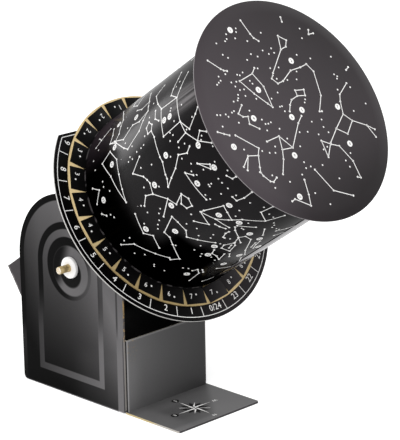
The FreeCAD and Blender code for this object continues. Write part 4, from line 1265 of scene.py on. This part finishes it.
# The far side of the film, in right ascension in hours and declination in degrees
farFigures = [
    [(9.35, 34.4), (8.38, 43.2)], [(10.89, 34.2), (10.46, 36.7), (10.12, 35.2), (9.57, 36.4)],
    [(12.93, 38.3), (12.56, 41.4)], [(11.9, 46.5), (11.16, 44.5), (10.37, 41.5)],
    [(12, 46), (11.31, 33.1)],
    [(14.26, 19.2), (14.75, 27.1), (15.26, 33.3), (15.03, 40.4), (14.53, 38.3), (14.53, 30.4),
     (14.26, 19.2)],
    [(13.79, 17.5), (14.26, 19.2), (14.69, 13.7)], [(13.17, 17.5), (13.2, 27.9), (12.45, 28.3)],
    [(15.55, 31.4), (15.46, 29.1), (15.58, 26.7), (15.83, 26.1), (15.96, 26.9), (16.02, 29.9)],
    [(16.37, 19.2), (16.5, 21.5), (16.69, 31.6), (16.71, 38.9), (17.25, 36.8), (17, 30.9),
     (16.69, 31.6)],
    [(17, 30.9), (17.25, 24.8), (17.51, 26.1), (17.77, 27.7), (18.13, 28.8)],
    [(17.25, 24.8), (17.24, 14.4)], [(16.71, 38.9), (16.57, 42.4), (16.33, 46)],
    [(17.25, 36.8), (17.94, 37.3), (17.66, 46)],
    [(18.62, 38.8), (18.75, 37.6), (18.98, 32.7), (18.83, 33.4), (18.75, 37.6)],
    [(20.69, 45.3), (20.37, 40.3), (19.94, 35.1), (19.51, 28)],
    [(19.75, 45.1), (20.37, 40.3), (20.77, 34), (21.22, 30.2)],
    [(19.98, 19.5), (19.79, 18.5), (19.67, 18)],
    [(20.55, 11.3), (20.63, 14.6), (20.78, 16.1), (20.72, 15.1), (20.63, 14.6)],
    [(19.77, 10.6), (19.85, 8.9), (19.92, 6.4), (20.19, -0.8)], [(19.77, 10.6), (19.09, 13.9)],
    [(19.85, 8.9), (19.42, 3.1), (19.1, -4.9)],
    [(18.59, -8.2), (18.79, -4.7), (18.7, -9.1), (18.49, -14.6), (18.59, -8.2)],
    [(18.94, 4.2), (18.36, -2.9), (17.63, -15.4)],
    [(15.83, -3.4), (15.85, 4.5), (15.74, 6.4), (15.58, 10.5), (15.77, 15.4), (15.94, 15.7)],
    [(17.58, 12.6), (16.96, 9.4), (16.52, 2), (16.24, -3.7), (16.62, -10.6), (17.17, -15.7),
     (17.8, 2.7), (17.58, 12.6)],
    [(16.09, -19.8), (16.01, -22.6), (15.98, -26.1)],
    [(16.01, -22.6), (16.35, -25.6), (16.6, -28.2), (16.84, -34.3), (16.86, -38), (16.91, -42.4),
     (17.2, -43.2), (17.62, -43), (17.79, -40.1), (17.56, -37.1)],
    [(15.07, -25.3), (14.85, -16), (15.28, -9.4), (15.59, -14.8), (14.85, -16)],
    [(11.84, 1.8), (12.33, -0.7), (12.69, -1.4), (12.93, 3.4), (13.04, 11)],
    [(12.69, -1.4), (13.17, -5.5), (13.42, -11.2), (14.27, -6), (14.72, -5.7)],
    [(12.93, 3.4), (13.58, -0.6), (14.03, 1.5), (14.77, 1.9)],
    [(9.76, 23.8), (9.88, 26), (10.28, 23.4), (10.33, 19.8), (10.12, 16.8), (10.14, 12),
     (11.24, 15.4), (11.82, 14.6), (11.24, 20.5), (10.33, 19.8)],
    [(8.97, 11.9), (8.74, 18.2), (8.78, 28.8)], [(8.74, 18.2), (8.28, 9.2)],
    [(7.58, 31.9), (7.19, 30.2), (6.73, 25.1), (6.38, 22.5)],
    [(7.58, 31.9), (7.76, 28), (7.34, 22), (7.07, 20.6), (6.63, 16.4)], [(7.66, 5.2), (7.45, 8.3)],
    [(6.75, -16.7), (7.05, -23.8), (7.14, -26.4), (7.4, -29.3)],
    [(7.14, -26.4), (6.98, -29), (6.34, -30.1)],
    [(8.13, -24.3), (7.82, -24.9), (7.29, -37.1), (6.63, -43.2)], [(8.13, -24.3), (8.06, -40)],
    [(8.92, 5.9), (8.63, 5.7), (8.72, 3.4), (9.24, 2.3), (9.66, -1.1), (9.46, -8.7), (9.86, -14.8),
     (10.18, -12.4), (10.83, -16.2), (11.55, -31.9), (11.88, -33.9), (13.32, -23.2), (14.11, -26.7)],
    [(11, -18.3), (11.19, -22.8), (11.41, -17.7), (11.32, -14.8), (11, -18.3)],
    [(12.26, -17.5), (12.5, -16.5), (12.57, -23.4), (12.17, -22.6), (12.26, -17.5)],
    [(8.84, -27.7), (8.73, -33.2)], [(8.16, -47), (9.13, -43.4), (10.78, -46.5)],
    [(13.34, -36.7), (14.11, -36.4), (14.59, -42.2), (13.93, -46.8), (13.34, -36.7)],
    [(14.98, -43.1), (15.36, -40.6), (15.59, -41.2)],
    [(18.1, -30.4), (18.35, -29.8), (18.76, -27), (19.12, -27.7), (19.04, -29.9), (18.4, -34.4),
     (18.1, -30.4)],
    [(18.35, -29.8), (18.47, -25.4), (18.23, -21.1)],
    [(20.3, -12.5), (20.35, -14.8), (20.77, -25.3), (21.44, -22.4), (21.7, -16.3), (20.35, -14.8)],
]
farSpots = [
    (9.9, 30), (12.7, 34), (14, 24), (15.2, 20), (17.4, 20), (18.9, 29), (19.3, 8), (18.1, 0),
    (16.9, -4), (15.4, 0), (13.7, 6), (11, 7), (8.5, 24), (7.9, 14), (9.1, -14), (12, -8), (15, -31),
    (17.1, -29), (19.5, -22), (7.5, -20), (12.6, -34), (9.7, -30), (20.6, 6),
]
farLook = {"zeroAt": -200.0, "equator": 168.4, "spread": 74.2, "looseStars": 90, "seed": 5}


def farPlace(hours, declination):
    height = farLook["equator"] + farLook["spread"] * math.tan(math.radians(declination))
    return 15 * hours + farLook["zeroAt"], height


def printMap(sheet, numbers, figures, spots, stars, place, stroke, firstNumber):
    p = mapPrint
    spread = [place(*spot) for spot in spots]
    for index, (x, y) in enumerate(spread):
        sheet.oval(x, y, p["spot"], p["spot"])
        numbers.text(str(firstNumber + index), x, y, p["numberHigh"])
    ends = set()
    for figure in figures:
        points = [place(*point) for point in figure]
        for first, last in zip(points, points[1:]):
            stroke(first, last, p["lineWide"])
        ends.update(points)
    for x, y in sorted(ends):
        sheet.dot(x, y, p["bigStar"])
    for star in stars:
        x, y = place(*star)
        sheet.dot(x, y, p["star"])


def discInk():
    sheet, numbers = Sheet(), Sheet(2)
    printMap(sheet, numbers, discFigures, discSpots, discStars, discPlace, sheet.line, 1)
    for part, name, inkUsed in ((sheet, "disc_map", whiteInk), (numbers, "disc_map_numbers", blackInk)):
        piece = settle(part.done(name), polarFrame @ Matrix.Translation((0, 0, discHigh.z)), 0)
        finished(piece, "drum", "white_card", inkUsed)


def filmInk():
    sheet, numbers = Sheet(), Sheet(2)
    printMap(sheet, numbers, filmFigures, filmSpots, filmStars, onFilm, sheet.stroke, 12)
    printMap(sheet, numbers, farFigures, farSpots, [], lambda *at: onFilm(*farPlace(*at)),
             sheet.stroke, 12 + len(filmSpots))
    loose = random.Random(farLook["seed"])
    for index in range(farLook["looseStars"]):
        sheet.dot(*onFilm(*farPlace(loose.uniform(8.3, 20), loose.uniform(-44, 44))),
                  mapPrint["star"])
    for part, name, inkUsed in ((sheet, "film_map", whiteInk), (numbers, "film_map_numbers", blackInk)):
        piece = settle(rolled(part.done(name)), Matrix.Identity(4), 0)
        finished(piece, "drum", "white_card", inkUsed)


discInk()
filmInk()
print("star map printed")

# Compass rose on the front flap

compassPrint = {
    "centre": (-0.9, -91.9), "arm": 17.2, "armHalf": 1.9, "diagonal": 12.3, "dark": 12.0,
    "letterAt": 22.0, "letterHigh": 3.1, "roundelWide": 6.4,
    "letters": {"N": -90, "E": 180, "S": 90, "W": 0},     # the way each lies, in degrees
}


def compassInk():
    p = compassPrint
    dark, pale = Sheet(), Sheet(2)
    centre = Vector(p["centre"])

    def way(angle, reach):
        turn = math.radians(angle)
        return centre + Vector((math.cos(turn), math.sin(turn))) * reach

    for angle in (45, 135, 225, 315):
        tip = way(angle, p["diagonal"])
        for side in (-1, 1):
            point = way(angle + side * 22.5, p["dark"])
            dark.wedge(centre, point, way(angle + side * 44, p["dark"] * 0.5))
            dark.wedge(centre, point, way(angle + side * 2, p["dark"] * 0.6))
        if angle in (45, 225):
            pale.wedge(way(angle, 2.4), tip, way(angle + 26, 3.6))
        else:
            pale.line(way(angle, 4), tip, 0.34)
    for angle in (0, 90, 180, 270):
        tip = way(angle, p["arm"])
        dark.wedge(centre, tip, way(angle - 45, p["armHalf"] * 1.4))
        pale.wedge(centre, tip, way(angle + 45, p["armHalf"] * 1.4))
    for letter, angle in p["letters"].items():
        spot = way(angle, p["letterAt"])
        if letter in "ES":
            dark.oval(spot.x, spot.y, p["roundelWide"], p["roundelWide"])
        pale.text(letter, spot.x, spot.y, p["letterHigh"], math.radians(180))
    top = flapTop()
    for part, name, inkUsed in ((dark, "compass_dark", blackInk), (pale, "compass_pale", whiteInk)):
        piece = settle(part.done(name), Matrix.Translation((0, 0, top)), 0)
        finished(piece, "stand", "white_card", inkUsed)


def flapTop():
    # upper face of the flap, which is the front part of the base plate
    front = [v.co.z for v in nodes["base_plate"].data.vertices if v.co.y < -100 * mm]
    return max(front)


compassInk()
print("compass printed")

for model in [strokeModel, lineModel, dotModel, ovalModel, wedgeModel] + list(textModels.values()):
    discard(model)
